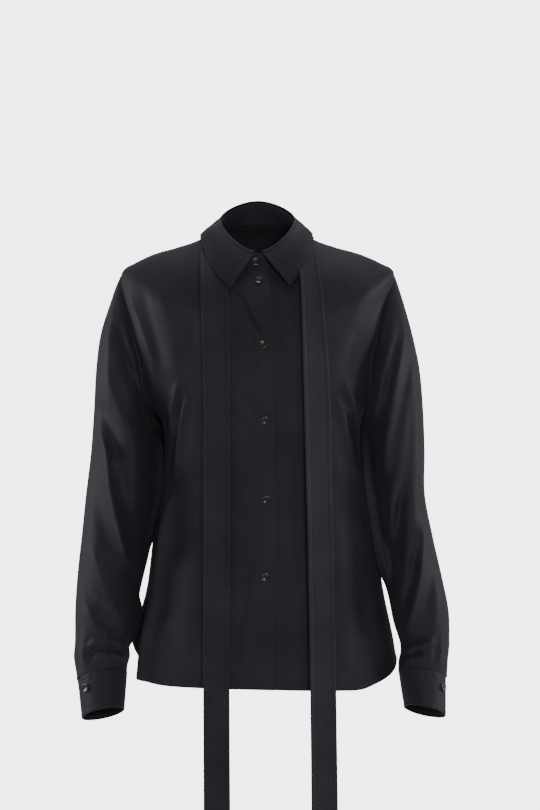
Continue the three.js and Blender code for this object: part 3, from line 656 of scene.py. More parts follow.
def turned_edge(distance: Any, radius: float) -> Any:
    """How far a folded edge curves in at a distance from it."""
    inside = np.clip(distance, 0, radius)
    return radius - np.sqrt(np.maximum(radius ** 2 - (radius - inside) ** 2, 0))


def sewn_line(distance: Any, depth: float = 0.28, width: float = 1.0) -> Any:
    """How far a row of stitches pulls the cloth in at a distance from it."""
    return depth * hump(distance, width)


def pucker(along: Any, off: Any, seed: float, height: float = 0.12, reach: float = 4.0) -> Any:
    """Small waves of the cloth beside a row of stitches.

    Args:
        along: distance along the row, in millimetres.
        off: distance from the middle of the waves.
        seed: start of the waves.
        height: their height.
        reach: how far they reach to each side.

    Returns:
        The height, in millimetres.
    """
    wave = (np.sin(along / 1.9 + seed) + np.sin(along / 3.1 + 2.3 * seed + off / 5)
            + 0.8 * np.sin(along / 5.3 + 4.1 * seed - off / 7))
    return height * wave / 2 * hump(off, reach)


def across_surface(surface: Surface, u: np.ndarray, v: np.ndarray,
                   step: float = 0.002) -> np.ndarray:
    """Direction of u crossed with v at places of a surface, at length 1.

    Args:
        surface: the surface.
        u: places across.
        v: places along.
        step: distance between the places compared.

    Returns:
        The directions.
    """
    run = surface(np.clip(u + step, 0, 1), v) - surface(np.clip(u - step, 0, 1), v)
    rise = surface(u, np.clip(v + step, 0, 1)) - surface(u, np.clip(v - step, 0, 1))
    return unit(np.cross(run, rise))


@dataclass
class Cloth:
    """A piece of cloth on a surface of u and v, both from 0 to 1, in millimetres."""
    name: str
    node: str
    surface: Surface
    columns: np.ndarray
    levels: np.ndarray
    flat: tuple[float, float]
    held: str = "draped"
    rests_on: tuple[str, ...] = ()
    area: float | None = None
    thick: float = 0.9
    closed: bool = False
    outward: int = 1

    def build(self, crepe: bpy.types.Material) -> bpy.types.Object:
        """Args:
            crepe: the cloth's material.

        Returns:
            The piece.
        """
        obj = self.mesh_object()
        obj.data.materials.append(crepe)
        wall = obj.modifiers.new("cloth", "SOLIDIFY")
        wall.thickness = self.thick * MM
        wall.offset = -1.0
        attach(obj, "root")
        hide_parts(self.node)
        LOG.info("%s: %d faces", self.name, len(obj.data.polygons))
        return obj

    def mesh_object(self) -> bpy.types.Object:
        """Returns:
            The sheet with its UV map in metres of cloth.
        """
        wide, tall = len(self.columns) - 1, len(self.levels) - 1
        bm = bmesh.new()
        bmesh.ops.create_grid(bm, x_segments=wide, y_segments=tall, size=0.5)
        mesh = bpy.data.meshes.new(self.name)
        bm.to_mesh(mesh)
        bm.free()
        places = np.empty(len(mesh.vertices) * 3)
        mesh.vertices.foreach_get("co", places)
        places = places.reshape(-1, 3)
        i = np.rint((places[:, 0] + 0.5) * wide).astype(int)
        j = np.rint((places[:, 1] + 0.5) * tall).astype(int)
        u, v = np.meshgrid(self.columns, self.levels)
        points = self.surface(u, v)
        mesh.vertices.foreach_set("co", (points[j, i] * MM).ravel())
        across = np.zeros(u.shape)
        across[:, 1:] = np.cumsum(np.linalg.norm(np.diff(points, axis=1), axis=2), axis=1)
        upward = np.zeros(u.shape)
        upward[1:] = np.cumsum(np.linalg.norm(np.diff(points, axis=0), axis=2), axis=0)
        corners = np.empty(len(mesh.loops), int)
        mesh.loops.foreach_get("vertex_index", corners)
        flat = np.stack([across[j, i], upward[j, i]], -1)[corners] * MM
        mesh.uv_layers.new(name="cloth").data.foreach_set("uv", flat.ravel())
        bm = bmesh.new()
        bm.from_mesh(mesh)
        if self.closed:
            bmesh.ops.remove_doubles(bm, verts=bm.verts, dist=1e-6)
        if self.outward < 0:
            bmesh.ops.reverse_faces(bm, faces=bm.faces)
        for face in bm.faces:
            face.smooth = True
        bm.to_mesh(mesh)
        bm.free()
        obj = bpy.data.objects.new(self.name, mesh)
        bpy.context.collection.objects.link(obj)
        return obj


@dataclass
class Panels:
    """Fronts, placket and back: the panels cut for the body."""
    body: BodyForm
    placket_width: float = 30.0
    placket_proud: float = 0.8
    underlap: float = 13.0
    wall: float = 2.2
    hem_depth: float = 8.5
    hem_swell: float = 0.35
    placket_stitch: float = 2.0
    # The placket has no seam beside it, so it is given as far off one.
    placket_free: float = 99.0
    tuck: float = 3.0
    tuck_depth: float = 1.5
    girth_radius: float = 150.0
    length: float = 650.0
    front_width: float = 225.0
    under_width: float = 240.0
    back_width: float = 440.0
    pitch: float = 2.5
    back_pitch: tuple[float, float] = (3.0, 2.8)

    def panel(self, angle: np.ndarray, v: np.ndarray, out: Any, side_off: Any,
              front: bool) -> np.ndarray:
        """Point of a panel with its hem and its sewn edges.

        Args:
            angle: angle round the body.
            v: level from the hem to the neck.
            out: millimetres off the cloth.
            side_off: millimetres from the armhole or side seam.
            front: whether the panel is a front.

        Returns:
            The point.
        """
        drop = self.body.panel_drop(v, angle)
        from_hem = self.body.hem_drop(angle) - drop
        along = angle * self.girth_radius
        hem = self.hem_swell * (1 - smoothstep(from_hem, self.hem_depth - 1, self.hem_depth + 1))
        hem = hem - sewn_line(from_hem - self.hem_depth, self.hem_swell)
        hem = hem + pucker(along, from_hem - 5, 1.7 if front else 4.2, 0.22, 7.0)
        seam = -0.5 * hump(side_off, 2.2) + 0.3 * hump(side_off - 5, 3.5)
        seam = seam + pucker(drop, side_off - 3, 2.9, 0.15, 5.0)
        return self.body.point(drop, angle, out + hem + seam)

    def right_front(self, u: np.ndarray, v: np.ndarray) -> np.ndarray:
        """Front on -X, from the side seam to the placket.

        Args:
            u: 0 at the side seam and 1 under the placket.
            v: 0 at the hem and 1 at the neck.

        Returns:
            Points in millimetres.
        """
        drop = self.body.panel_drop(v, -0.8)
        start = -self.body.edge_angle(drop, True)
        width, low = self.body.half_width(drop, -1), -self.placket_width / 2
        angle = lerp(start, (low + self.tuck) / width, u)
        sunk = -self.tuck_depth * smoothstep(angle * width, low - 0.3, low + 1.2)
        return self.panel(angle, v, sunk, (angle - start) * width, True)

    def left_front(self, u: np.ndarray, v: np.ndarray) -> np.ndarray:
        """Front on +X, from under the placket to the side seam.

        Args:
            u: 0 under the placket and 1 at the side seam.
            v: 0 at the hem and 1 at the neck.

        Returns:
            Points in millimetres.
        """
        drop = self.body.panel_drop(v, 0.8)
        start = -self.underlap / self.body.half_width(drop, -1)
        end = self.body.edge_angle(drop, True)
        angle = lerp(start, end, u ** 1.12)
        reach = angle * self.body.half_width(drop, 1)
        under = self.wall - self.placket_proud + 0.3
        low = self.placket_width / 2
        sunk = -under * (1 - smoothstep(reach, low + 3, low + 22))
        return self.panel(angle, v, sunk, (end - angle) * self.body.half_width(drop, 1), True)

    def placket(self, u: np.ndarray, v: np.ndarray) -> np.ndarray:
        """Button placket: sewn on at its -X side, a free folded edge at its +X side.

        Args:
            u: 0 at its -X side and 1 at its +X side.
            v: 0 at the hem and 1 at the neck.

        Returns:
            Points in millimetres.
        """
        drop = self.body.panel_drop(v, 0.0)
        reach = lerp(-self.placket_width / 2, self.placket_width / 2, u)
        angle = reach / self.body.half_width(drop, np.sign(reach))
        from_left, from_right = reach + self.placket_width / 2, self.placket_width / 2 - reach
        rise = lerp(0.1, self.placket_proud, smoothstep(from_left, 0.0, 9.0))
        rise = rise - turned_edge(from_right, 0.7)
        rise = rise - sewn_line(from_left - self.placket_stitch, 0.2, 0.9)
        rise = rise - sewn_line(from_right - self.placket_stitch, 0.15, 0.8)
        rise = rise + pucker(drop, from_left - 3, 0.6, 0.14, 4.0)
        rise = rise + 0.35 * np.sin(drop / 23.0 + 1.0) * smoothstep(-from_right, -9.0, 0.0)
        return self.panel(angle, v, rise, self.placket_free, True)

    def back(self, u: np.ndarray, v: np.ndarray) -> np.ndarray:
        """Back in one piece, from the +X side seam to the -X one.

        Args:
            u: 0 at the +X side seam and 1 at the -X one.
            v: 0 at the hem and 1 at the neck.

        Returns:
            Points in millimetres.
        """
        drop = self.body.panel_drop(v, np.pi - 0.8)
        start = np.pi - self.body.edge_angle(drop, False)
        angle = lerp(start, 2 * np.pi - start, u)
        width = self.body.half_width(drop, 1)
        by_seam = np.minimum(angle - start, 2 * np.pi - start - angle) * width
        return self.panel(angle, v, 0.0, by_seam, False)

    def pieces(self) -> list[Cloth]:
        """Returns:
            The four panels.
        """
        levels = spread(self.length, self.pitch, (0, self.hem_depth, self.length - 2))
        half = spread(self.front_width, self.pitch, (0, 1.5, 3.3, self.front_width))
        under = spread(self.under_width, self.pitch, (0, self.under_width))
        back_across = spread(self.back_width, self.back_pitch[0], (0, self.back_width))
        back_levels = spread(self.length, self.back_pitch[1], (0, self.hem_depth, self.length - 2))
        return [
            Cloth("right_front_cloth", "front_right", self.right_front, 1 - half[::-1], levels,
                  (0.235, 0.69), "hung", ("collar_stand_cloth",), 0.135),
            Cloth("left_front_cloth", "front_left", self.left_front, under, levels,
                  (0.26, 0.69), "hung", ("collar_stand_cloth",), 0.155),
            Cloth("placket_cloth", "placket", self.placket,
                  spread(self.placket_width, 1.6, (0, self.placket_stitch, self.placket_width)),
                  levels, (0.03, 0.61), "hung", ("left_front_cloth",), thick=1.2),
            Cloth("back_cloth", "back", self.back, back_across, back_levels,
                  (0.5, 0.74), "hung", ("collar_stand_cloth",), 0.29),
        ]


@dataclass
class SleeveForm:
    """One sleeve with its cuff. side is -1 on -X and +1 on +X; turn 0 is the outer side."""
    body: BodyForm
    side: int
    sections: Table
    ring: Table
    folds: Folds
    button_turn: float
    label: str
    parts_at: tuple[float, float]
    length: float = 586.0
    blend_length: float = 120.0
    cuff_height: float = 54.0
    cuff_length: float = 235.0
    top_stitch: float = 7.5
    lap_degrees: float = 34.0
    cuff_wall: float = 2.2
    layer_gap: float = 0.5
    tuck: float = 3.0
    tuck_depth: float = 1.7
    # Down the body the sleeve parts from it over the first length and meets it over the second.
    part_lengths: tuple[float, float] = (25.0, 22.0)
    # Distance from the body where they touch, and how much more where they are parted: at the
    # side of the body, and towards its front and back.
    touch_gap: float = -0.8
    apart_gaps: tuple[float, float] = (3.2, 4.0)
    hem_fade: float = 14.0
    draw: float = 14.0
    pleat_height: float = 1.3
    pitch: float = 2.6

    def armhole(self, turn: np.ndarray) -> tuple[np.ndarray, np.ndarray]:
        """Drop and angle of the armhole's edge at a turn.

        Args:
            turn: angle round the sleeve, 0 at its outer side.

        Returns:
            The drop and the angle.
        """
        drop = self.body.armhole_drop(turn)
        front = np.sin(turn) >= 0
        edge = self.body.edge_angle(drop, front)
        return drop, self.side * np.where(front, edge, np.pi - edge)

    def start(self, turn: np.ndarray, along: np.ndarray) -> np.ndarray:
        """Point of the sleeve's seam at a turn: the seam allowance lies under the panels.

        Args:
            turn: angle round the sleeve, 0 at its outer side.
            along: distance down the sleeve, in millimetres.

        Returns:
            Points in millimetres.
        """
        here = self.armhole(turn)
        point, normal = self.body.point(*here), self.body.normal(*here)
        ahead, behind = self.armhole(turn + 0.03), self.armhole(turn - 0.03)
        away = unit(np.cross(self.body.point(*ahead) - self.body.point(*behind), normal))
        middle = xyz(self.side * 190.0, 0.0, -155.0)
        away = away * np.where(np.sum(away * (middle - point), -1) < 0, -1.0, 1.0)[..., None]
        outside = smoothstep(along, 0.5, 3.5)[..., None]
        tucked = -self.tuck * away - self.tuck_depth * normal
        return point + lerp(tucked, 0.2 * away - 0.35 * normal, outside)

    def section(self, row: dict[str, np.ndarray], turn: np.ndarray) -> np.ndarray:
        """Point of a plain section at a turn.

        Args:
            row: sizes of the section by column name.
            turn: angle round the sleeve, 0 at its outer side.

        Returns:
            Points in millimetres.
        """
        middle_x = (row["outerX"] + row["innerX"]) / 2
        middle_z = (row["outerZ"] + row["innerZ"]) / 2
        up = (row["outerZ"] - middle_z) * np.cos(turn) + row["lift"] * np.sin(turn)
        return xyz(middle_x + (row["outerX"] - middle_x) * np.cos(turn),
                   row["middleY"] - row["halfDepth"] * np.sin(turn), middle_z + up)

    def clear_of_body(self, point: np.ndarray) -> np.ndarray:
        """Presses points off the side of the body, and draws near ones on to it.

        Args:
            point: points in millimetres.

        Returns:
            The points moved across.
        """
        x, y, z = point[..., 0], point[..., 1], point[..., 2]
        ring = self.body.rings.at(-z)
        reach = np.abs(y) / np.where(y < 0, ring["fore"], ring["aft"])
        half = ring["right"] - ring["middle"] if self.side > 0 else ring["middle"] - ring["left"]
        (start, end), (leave, meet) = self.parts_at, self.part_lengths
        apart = smoothstep(-z, start, start + leave) * (1 - smoothstep(-z, end - meet, end))
        gap = self.touch_gap + (self.apart_gaps[0] + self.apart_gaps[1] * reach) * apart
        round_edge = np.maximum(1 - np.minimum(reach, 1) ** ring["square"], 0)
        edge = half * round_edge ** (1 / ring["square"]) + gap
        off = (x - ring["middle"]) * self.side
        hem = self.body.hem_drop(np.array([self.side * np.pi / 2]))[0]
        beside = (-z > self.body.underarm_drop + 4) * (reach < 1)
        low = (1 - smoothstep(-z, hem, hem + self.hem_fade)) * beside
        near = np.clip((off - edge) / self.draw, 0, 1)
        drawn = (near ** 3 - near) * self.draw * (1 - apart) * (1 - smoothstep(reach, 0.5, 0.9))
        shift = np.where(off < edge, edge - off, drawn)
        return xyz(x + self.side * shift * low, y, z)

    def cuff_point(self, turn: np.ndarray, down: Any, inset: Any = 0.0) -> np.ndarray:
        """Point of the cuff: down is 0 at its top seam and 1 at its lower edge.

        Args:
            turn: angle round the sleeve, 0 at its outer side.
            down: share of the way down the cuff.
            inset: distance in from its outer side, in millimetres.

        Returns:
            Points in millimetres.
        """
        row = self.ring.at(down)
        return xyz(row["x"] + self.side * (row["halfX"] - inset) * np.cos(turn),
                   row["y"] - (row["halfY"] - inset) * np.sin(turn),
                   row["z"] + row["outerDip"] * np.cos(turn) + row["lift"] * np.sin(turn))

    def gathers(self, turn: np.ndarray, along: np.ndarray) -> np.ndarray:
        """Small pleats that run up from the cuff seam.

        Args:
            turn: angle round the sleeve, 0 at its outer side.
            along: distance down the sleeve, in millimetres.

        Returns:
            Height of the pleats, in millimetres.
        """
        near = smoothstep(along, self.length - 75, self.length - 8)
        wave = np.sin(turn * 9 + 0.6 * self.side) + 0.6 * np.sin(turn * 14 + 1.9)
        fade = 1 - smoothstep(along, self.length - 5, self.length)
        return self.pleat_height * wave * near * fade

    def sleeve(self, u: np.ndarray, v: np.ndarray) -> np.ndarray:
        """Sleeve from the cuff, v 0, to the armhole, v 1.

        Args:
            u: share of the turn round the sleeve.
            v: share of the way up.

        Returns:
            Points in millimetres.
        """
        turn, along = u * 2 * np.pi, (1 - v) * self.length
        row = self.sections.at(along)
        point = self.section(row, turn)
        first = self.section(self.sections.at(np.zeros_like(along)), turn)
        blend = (1 - smoothstep(along, 0, self.blend_length)) ** 1.5
        point = point + (self.start(turn, along) - first) * blend[..., None]
        front = np.sin(turn) > 0
        facing = np.abs(np.sin(turn)) ** 0.7 * smoothstep(along, 0, 45)
        facing = facing * (1 - smoothstep(along, self.length - 16, self.length - 2))
        fold = self.folds.relief(point, front) * facing
        point[..., 1] -= np.where(front, 1, -1) * fold
        pleat = self.gathers(turn, along)
        point[..., 0] += self.side * pleat * np.cos(turn)
        point[..., 1] -= pleat * np.sin(turn)
        end = self.cuff_point(turn, np.zeros_like(turn), 0.4)
        end[..., 2] += 0.3 + self.length - along
        point = lerp(point, end, smoothstep(along, self.length - 30, self.length)[..., None])
        return self.clear_of_body(point)

    def cuff(self, u: np.ndarray, v: np.ndarray) -> np.ndarray:
        """Cuff from the end that lies on top round to the end under it.

        Args:
            u: 0 at the end on top and 1 at the end under it.
            v: 0 at the lower edge and 1 at the seam.

        Returns:
            Points in millimetres.
        """
        lap = math.radians(self.lap_degrees)
        turn = math.radians(self.button_turn) - lap / 2 + u * (2 * np.pi + lap)
        under = (self.cuff_wall + self.layer_gap) * smoothstep(u, 0.7, 0.91)
        low, high, end = v * self.cuff_height, (1 - v) * self.cuff_height, u * self.cuff_length
        inset = under + turned_edge(low, 0.8) + turned_edge(high, 0.6) + turned_edge(end, 0.8)
        inset = inset + sewn_line(low - EDGE_STITCH, 0.25) + sewn_line(end - EDGE_STITCH, 0.25)
        inset = inset + sewn_line(high - SEAM_STITCH, 0.25) + sewn_line(high - self.top_stitch, 0.2)
        inset = inset - 0.25 * hump(low - 3, 2.5) - pucker(turn * 35, low - 4, 2.2, 0.22, 5.0)
        inset = inset - pucker(turn * 35, high - 5, 0.9, 0.3, 9.0)
        return self.cuff_point(turn, 1 - v, inset)

    def pieces(self) -> list[Cloth]:
        """Returns:
            The sleeve and its cuff.
        """
        round_it, tall = np.linspace(0, 1, 145), self.cuff_height
        return [
            Cloth(f"sleeve_{self.label}_cloth", f"sleeve_{self.label}", self.sleeve, round_it,
                  spread(600, self.pitch, (0, 596, 598)), (0.4, 0.66), "hung",
                  ("right_front_cloth" if self.side < 0 else "left_front_cloth",), 0.2,
                  closed=True, outward=-self.side),
            Cloth(f"cuff_{self.label}_cloth", f"cuff_{self.label}", self.cuff,
                  spread(self.cuff_length, 2.2, (0, EDGE_STITCH)),
                  spread(tall, 1.7, (0, EDGE_STITCH, tall - self.top_stitch, tall - SEAM_STITCH,
                                     tall)),
                  (0.235, 0.054), "hung", (f"sleeve_{self.label}_cloth",),
                  thick=1.6, outward=-self.side),
        ]


@dataclass
class Neck:
    """Collar stand, collar leaf and the neck tie."""
    body: BodyForm
    stand_height: float = 26.0
    stand_lap: float = 12.0
    stand_stitch: float = 5.0
    round_neck: float = 400.0
    roll_share: float = 0.11
    # Angles of the leaf's two ends, where it rolls over and at its outer edge.
    roll_degrees: tuple[float, float] = (-352.0, -5.0)
    edge_degrees: tuple[float, float] = (-340.0, -18.0)
    tie_width: float = 36.5
    tie_length: float = 890.0
    tie_lift: float = 8.5
    leaf_height: float = 45.0
    band_height: float = 34.0
    band_length: float = 330.0
    wall: float = 2.2
    layer_gap: float = 0.5
    roll_radius: float = 4.2
    leaf_out: float = 6.4
    tie_out: float = 3.6
    # Below the bust, here down the tie and up the body, the tie hangs free.
    bust_along: float = 216.0
    bust_z: float = -205.0
    leaf_edge: Table = field(default_factory=lambda: Table(
        "angle drop",
        (-18, 63), (-25, 52), (-42, 35), (-66, 20), (-95, 15), (-140, 15), (-180, 17),
        (-220, 15), (-265, 14), (-292, 18), (-312, 34), (-324, 42), (-340, 59)))
    right_edges: Table = field(default_factory=lambda: Table(
        "along outerX outerZ innerX innerZ",
        (0, -81, -4, -58, 10), (14, -81, -13, -51, 1), (30, -80.5, -27, -45, -14),
        (50, -79.5, -46, -41.5, -36), (76, -78.5, -70, -40, -66), (116, -77.5, -108, -39, -106),
        (216, -74, -206, -36.5, -205), (420, -73.5, -410, -36.5, -409),
        (620, -74, -610, -37, -609), (891, -73, -880, -35.5, -880)))
    left_edges: Table = field(default_factory=lambda: Table(
        "along outerX outerZ innerX innerZ",
        (0, 83, -3, 62, 10), (14, 85, -13, 58, 0), (30, 87.5, -29, 59, -20),
        (50, 90, -50, 61, -44), (76, 93.5, -75, 63, -71), (116, 97, -114, 64.5, -112),
        (216, 104.5, -214, 67, -213), (420, 109, -416, 72.5, -415),
        (620, 113, -614, 76, -613), (890, 117, -880, 79, -880)))

    def stand_turn(self, u: np.ndarray) -> np.ndarray:
        """Angle of the stand: it starts under its own end."""
        start = -self.stand_lap / self.body.half_width(np.zeros(1), -1)[0]
        return lerp(start, 2 * np.pi - start, u)

    def stand(self, u: np.ndarray, v: np.ndarray) -> np.ndarray:
        """Collar stand: v is 0 at the neckline and 1 at its top.

        Args:
            u: share of the way round the neck.
            v: share of the way up.

        Returns:
            Points in millimetres.
        """
        under = (self.wall + self.layer_gap) * (1 - smoothstep(u, 0.07, 0.16))
        low, end = v * self.stand_height, (1 - u) * self.round_neck
        under = under + sewn_line(low - SEAM_STITCH, 0.2) + turned_edge(end, 0.8)
        under = under + sewn_line(end - self.stand_stitch, 0.2)
        under = under + turned_edge(self.stand_height - low, 0.6)
        return self.body.point(lerp(-0.6, -self.stand_height, v), self.stand_turn(u), -under)

    def leaf(self, u: np.ndarray, v: np.ndarray) -> np.ndarray:
        """Collar leaf: v is 1 where it rolls over the stand and 0 at its outer edge.

        Args:
            u: share of the way round the neck.
            v: share of the way up.

        Returns:
            Points in millimetres.
        """
        fall = 1 - v
        roll = np.radians(lerp(*self.roll_degrees, u))
        edge_degrees = lerp(*self.edge_degrees, u)
        edge_drop = self.leaf_edge.at(edge_degrees)["drop"]
        top = np.full(u.shape, -self.stand_height)
        out = unit(self.body.normal(top, roll) * [1, 1, 0])
        centre = self.body.base(top, roll) + out * 0.4 - xyz(0.0, 0.0, 0.8)
        turned = np.clip(fall / self.roll_share, 0, 1) * np.pi / 2
        rolled = centre + out * (self.roll_radius * np.sin(turned))[..., None]
        rolled[..., 2] += self.roll_radius * np.cos(turned)
        share = np.clip((fall - self.roll_share) / (1 - self.roll_share), 0, 1)
        lower = self.body.point(edge_drop, np.radians(edge_degrees), self.leaf_out)
        chord = lower - rolled
        bulge = out - chord * (np.sum(out * chord, -1) / np.sum(chord * chord, -1))[..., None]
        tall = np.linalg.norm(chord, axis=-1)
        from_edge = (1 - share) * tall
        from_front = np.minimum(u, 1 - u) * self.round_neck
        near = np.minimum(from_edge, from_front)
        swell = 3.4 * np.sin(np.pi * share)
        swell = swell - turned_edge(from_edge, 0.8) - turned_edge(from_front, 0.8)
        swell = swell - sewn_line(near - EDGE_STITCH, 0.3) + 0.3 * hump(near - 3.2, 2.2)
        swell = swell + pucker(edge_degrees * 1.4, near - 5, 3.3, 0.12, 4.0)
        swell = swell * (share > 0)
        return lerp(rolled, lower, share[..., None]) + unit(bulge) * swell[..., None]

    def tie_point(self, edges: Table, along: np.ndarray, share: np.ndarray,
                  out: Any) -> np.ndarray:
        """Point of a hanging end of the tie.

        Args:
            edges: the two edges of the end.
            along: distance from the neck, in millimetres.
            share: 0 at the outer edge and 1 at the inner one.
            out: distance off its usual place, in millimetres.

        Returns:
            Points in millimetres.
        """
        row, bust = edges.at(along), edges.at(np.full(along.shape, self.bust_along))
        x = lerp(row["outerX"], row["innerX"], share)
        z = lerp(row["outerZ"], row["innerZ"], share)
        rest_x = np.where(z >= self.bust_z, x, lerp(bust["outerX"], bust["innerX"], share))
        point = self.body.rest_on(rest_x, np.maximum(z, self.bust_z), self.tie_out + out)
        hang = 5 * smoothstep(self.bust_z - z, 0, 420)
        return xyz(x, point[..., 1] - hang, np.where(z >= self.bust_z, point[..., 2], z))

    def hanging_end(self, edges: Table, side: int, seed: float) -> Surface:
        """Args:
            edges: the two edges of the end.
            side: -1 on -X and +1 on +X.
            seed: start of its small waves.

        Returns:
            The surface of the end, v 1 at the neck.
        """
        def surface(u: np.ndarray, v: np.ndarray) -> np.ndarray:
            """The end's surface.

            Args:
                u: 0 at its -X edge and 1 at its +X edge.
                v: 0 at its lower end and 1 at the neck.

            Returns:
                Points in millimetres.
            """
            length = edges.rows[-1, 0]
            along = (1 - v) * length
            share = u if side < 0 else 1 - u
            near = np.minimum(u, 1 - u) * self.tie_width
            from_end = v * length
            edge = np.minimum(near, from_end)
            out = -turned_edge(near, 0.8) - turned_edge(from_end, 0.8)
            out = out - sewn_line(edge - EDGE_STITCH, 0.3) + 0.35 * hump(edge - 3.2, 2.2)
            out = out + pucker(along, near - 6, seed, 0.16, 4.0)
            out = out + self.tie_lift * (1 - u) ** 2 * smoothstep(along, 20, 90)
            limp = smoothstep(along, 60, 300)
            out = out + limp * (0.8 * np.sin(along / 47 + seed) * (u - 0.5)
                                + 0.5 * np.sin(along / 23 + 2 * seed) * (u - 0.5) ** 2)
            return self.tie_point(edges, along, share, out)
        return surface

    def hanging_ends(self) -> dict[str, Surface]:
        """Surfaces of the two hanging ends by side of the wearer."""
        return {"right": self.hanging_end(self.right_edges, -1, 1.1),
                "left": self.hanging_end(self.left_edges, 1, 2.6)}

    def band(self, u: np.ndarray, v: np.ndarray) -> np.ndarray:
        """Part of the tie round the neck, under the leaf.

        Args:
            u: 0 at its +X end and 1 at its -X end.
            v: share of the way up.

        Returns:
            Points in millimetres.
        """
        angle, middle = np.radians(lerp(80.0, 280.0, u)), np.sin(np.pi * u)
        drop = lerp(lerp(19.0, 12.0, middle), lerp(-13.0, -16.0, middle), v)
        near = np.minimum(v, 1 - v) * self.band_height
        edge = turned_edge(near, 0.8) + sewn_line(near - EDGE_STITCH, 0.25)
        out = self.tie_out + 1.2 * np.sin(np.pi * v) * middle - edge
        point = self.body.point(drop, angle, out)
        along = np.zeros(u.shape)
        left = self.tie_point(self.left_edges, along, v, -edge)
        right = self.tie_point(self.right_edges, along, v, -edge)
        end = np.where((u < 0.5)[..., None], left, right) + xyz(0.0, 0.8, 0.0)
        share = smoothstep(np.minimum(u, 1 - u) / 0.14, 0, 1)
        return lerp(end, point, share[..., None])

    def pieces(self) -> list[Cloth]:
        """Returns:
            Stand, leaf, band and the two hanging ends.
        """
        tie, neck, stitch = self.tie_width, self.round_neck, EDGE_STITCH
        across = spread(tie, 2.0, (0, stitch, tie - stitch, tie))
        run = spread(self.tie_length, 2.4, (0, stitch))
        leaf_levels = np.unique(np.concatenate([
            spread(self.leaf_height, 1.6, (0, stitch)), 1 - np.linspace(0, 0.12, 8)]))
        band = spread(self.band_height, 1.8,
                      (0, stitch, self.band_height - stitch, self.band_height))
        pieces = [
            Cloth("collar_stand_cloth", "collar_stand", self.stand,
                  spread(neck, 2.4, (neck - self.stand_stitch, neck)),
                  spread(self.stand_height, 1.6, (SEAM_STITCH, self.stand_height)),
                  (0.42, 0.032), "draped", ("back_cloth",), thick=1.4),
            Cloth("collar_leaf_cloth", "collar", self.leaf,
                  spread(neck, 2.0, (0, stitch, neck - stitch, neck)), leaf_levels,
                  (0.45, 0.075), "folded", ("collar_stand_cloth",), 0.022, thick=1.4),
            Cloth("tie_band_cloth", "tie_band", self.band, spread(self.band_length, 2.4), band,
                  (0.2, 0.0365), "draped", ("collar_stand_cloth",), thick=1.4),
        ]
        for label, surface in self.hanging_ends().items():
            pieces.append(Cloth(f"tie_end_{label}_cloth", f"tie_end_{label}", surface, across, run,
                                (0.0365, 0.9), "hung", (f"{label}_front_cloth",), thick=1.4))
        return pieces


# Sewing and buttons

@dataclass
class Button:
    """Cast button with a raised rim, a dished middle and four holes.

    The profile is (radius, height) from the middle of the back to the middle of the front.
    """
    hole_radius: float = 0.85
    hole_offset: float = 1.9
    steps: int = 40
    profile: tuple[tuple[float, float], ...] = (
        (0.0, 0.15), (4.9, 0.0), (5.7, 0.35), (6.0, 0.95), (5.95, 1.55), (5.6, 2.05),
        (5.1, 2.2), (4.6, 2.05), (4.2, 1.65), (3.6, 1.45), (0.0, 1.4))

    def build(self, name: str, node: str, polyester: bpy.types.Material,
              place: Matrix) -> bpy.types.Object:
        """Args:
            name: the piece's name.
            node: the CAD button that it stands for.
            polyester: its material.
            place: where its back lies, in metres.

        Returns:
            The button.
        """
        bm = bmesh.new()
        line = [bm.verts.new((x * MM, 0, z * MM)) for x, z in self.profile]
        edges = [bm.edges.new(pair) for pair in zip(line, line[1:])]
        bmesh.ops.spin(bm, geom=line + edges, cent=(0, 0, 0), axis=(0, 0, 1), dvec=(0, 0, 0),
                       angle=2 * math.pi, steps=self.steps, use_merge=True,
                       use_duplicate=False)
        bmesh.ops.remove_doubles(bm, verts=bm.verts, dist=1e-6)
        bmesh.ops.recalc_face_normals(bm, faces=bm.faces)
        body = object_of(bm, name)
        cutter = self.holes(name)
        cut = body.modifiers.new("holes", "BOOLEAN")
        cut.operation, cut.object, cut.solver = "DIFFERENCE", cutter, "EXACT"
        graph = bpy.context.evaluated_depsgraph_get()
        drilled = bpy.data.meshes.new_from_object(body.evaluated_get(graph))
        body.modifiers.clear()
        body.data = drilled
        bpy.data.objects.remove(cutter)
        drilled.transform(place)
        drilled.materials.clear()
        drilled.materials.append(polyester)
        for face in drilled.polygons:
            face.use_smooth = True
        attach(body, "root")
        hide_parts(node)
        return body

    def holes(self, name: str) -> bpy.types.Object:
        """Four drills, as one object.

        Args:
            name: the button's name.

        Returns:
            The drills.
        """
        bm = bmesh.new()
        for quarter in range(4):
            turn = (quarter + 0.5) * math.pi / 2
            shift = Matrix.Translation((self.hole_offset * math.cos(turn) * MM,
                                        self.hole_offset * math.sin(turn) * MM, 1.0 * MM))
            bmesh.ops.create_cone(bm, cap_ends=True, segments=14, depth=4 * MM, matrix=shift,
                                  radius1=self.hole_radius * MM, radius2=self.hole_radius * MM)
        return object_of(bm, f"{name}_drills")


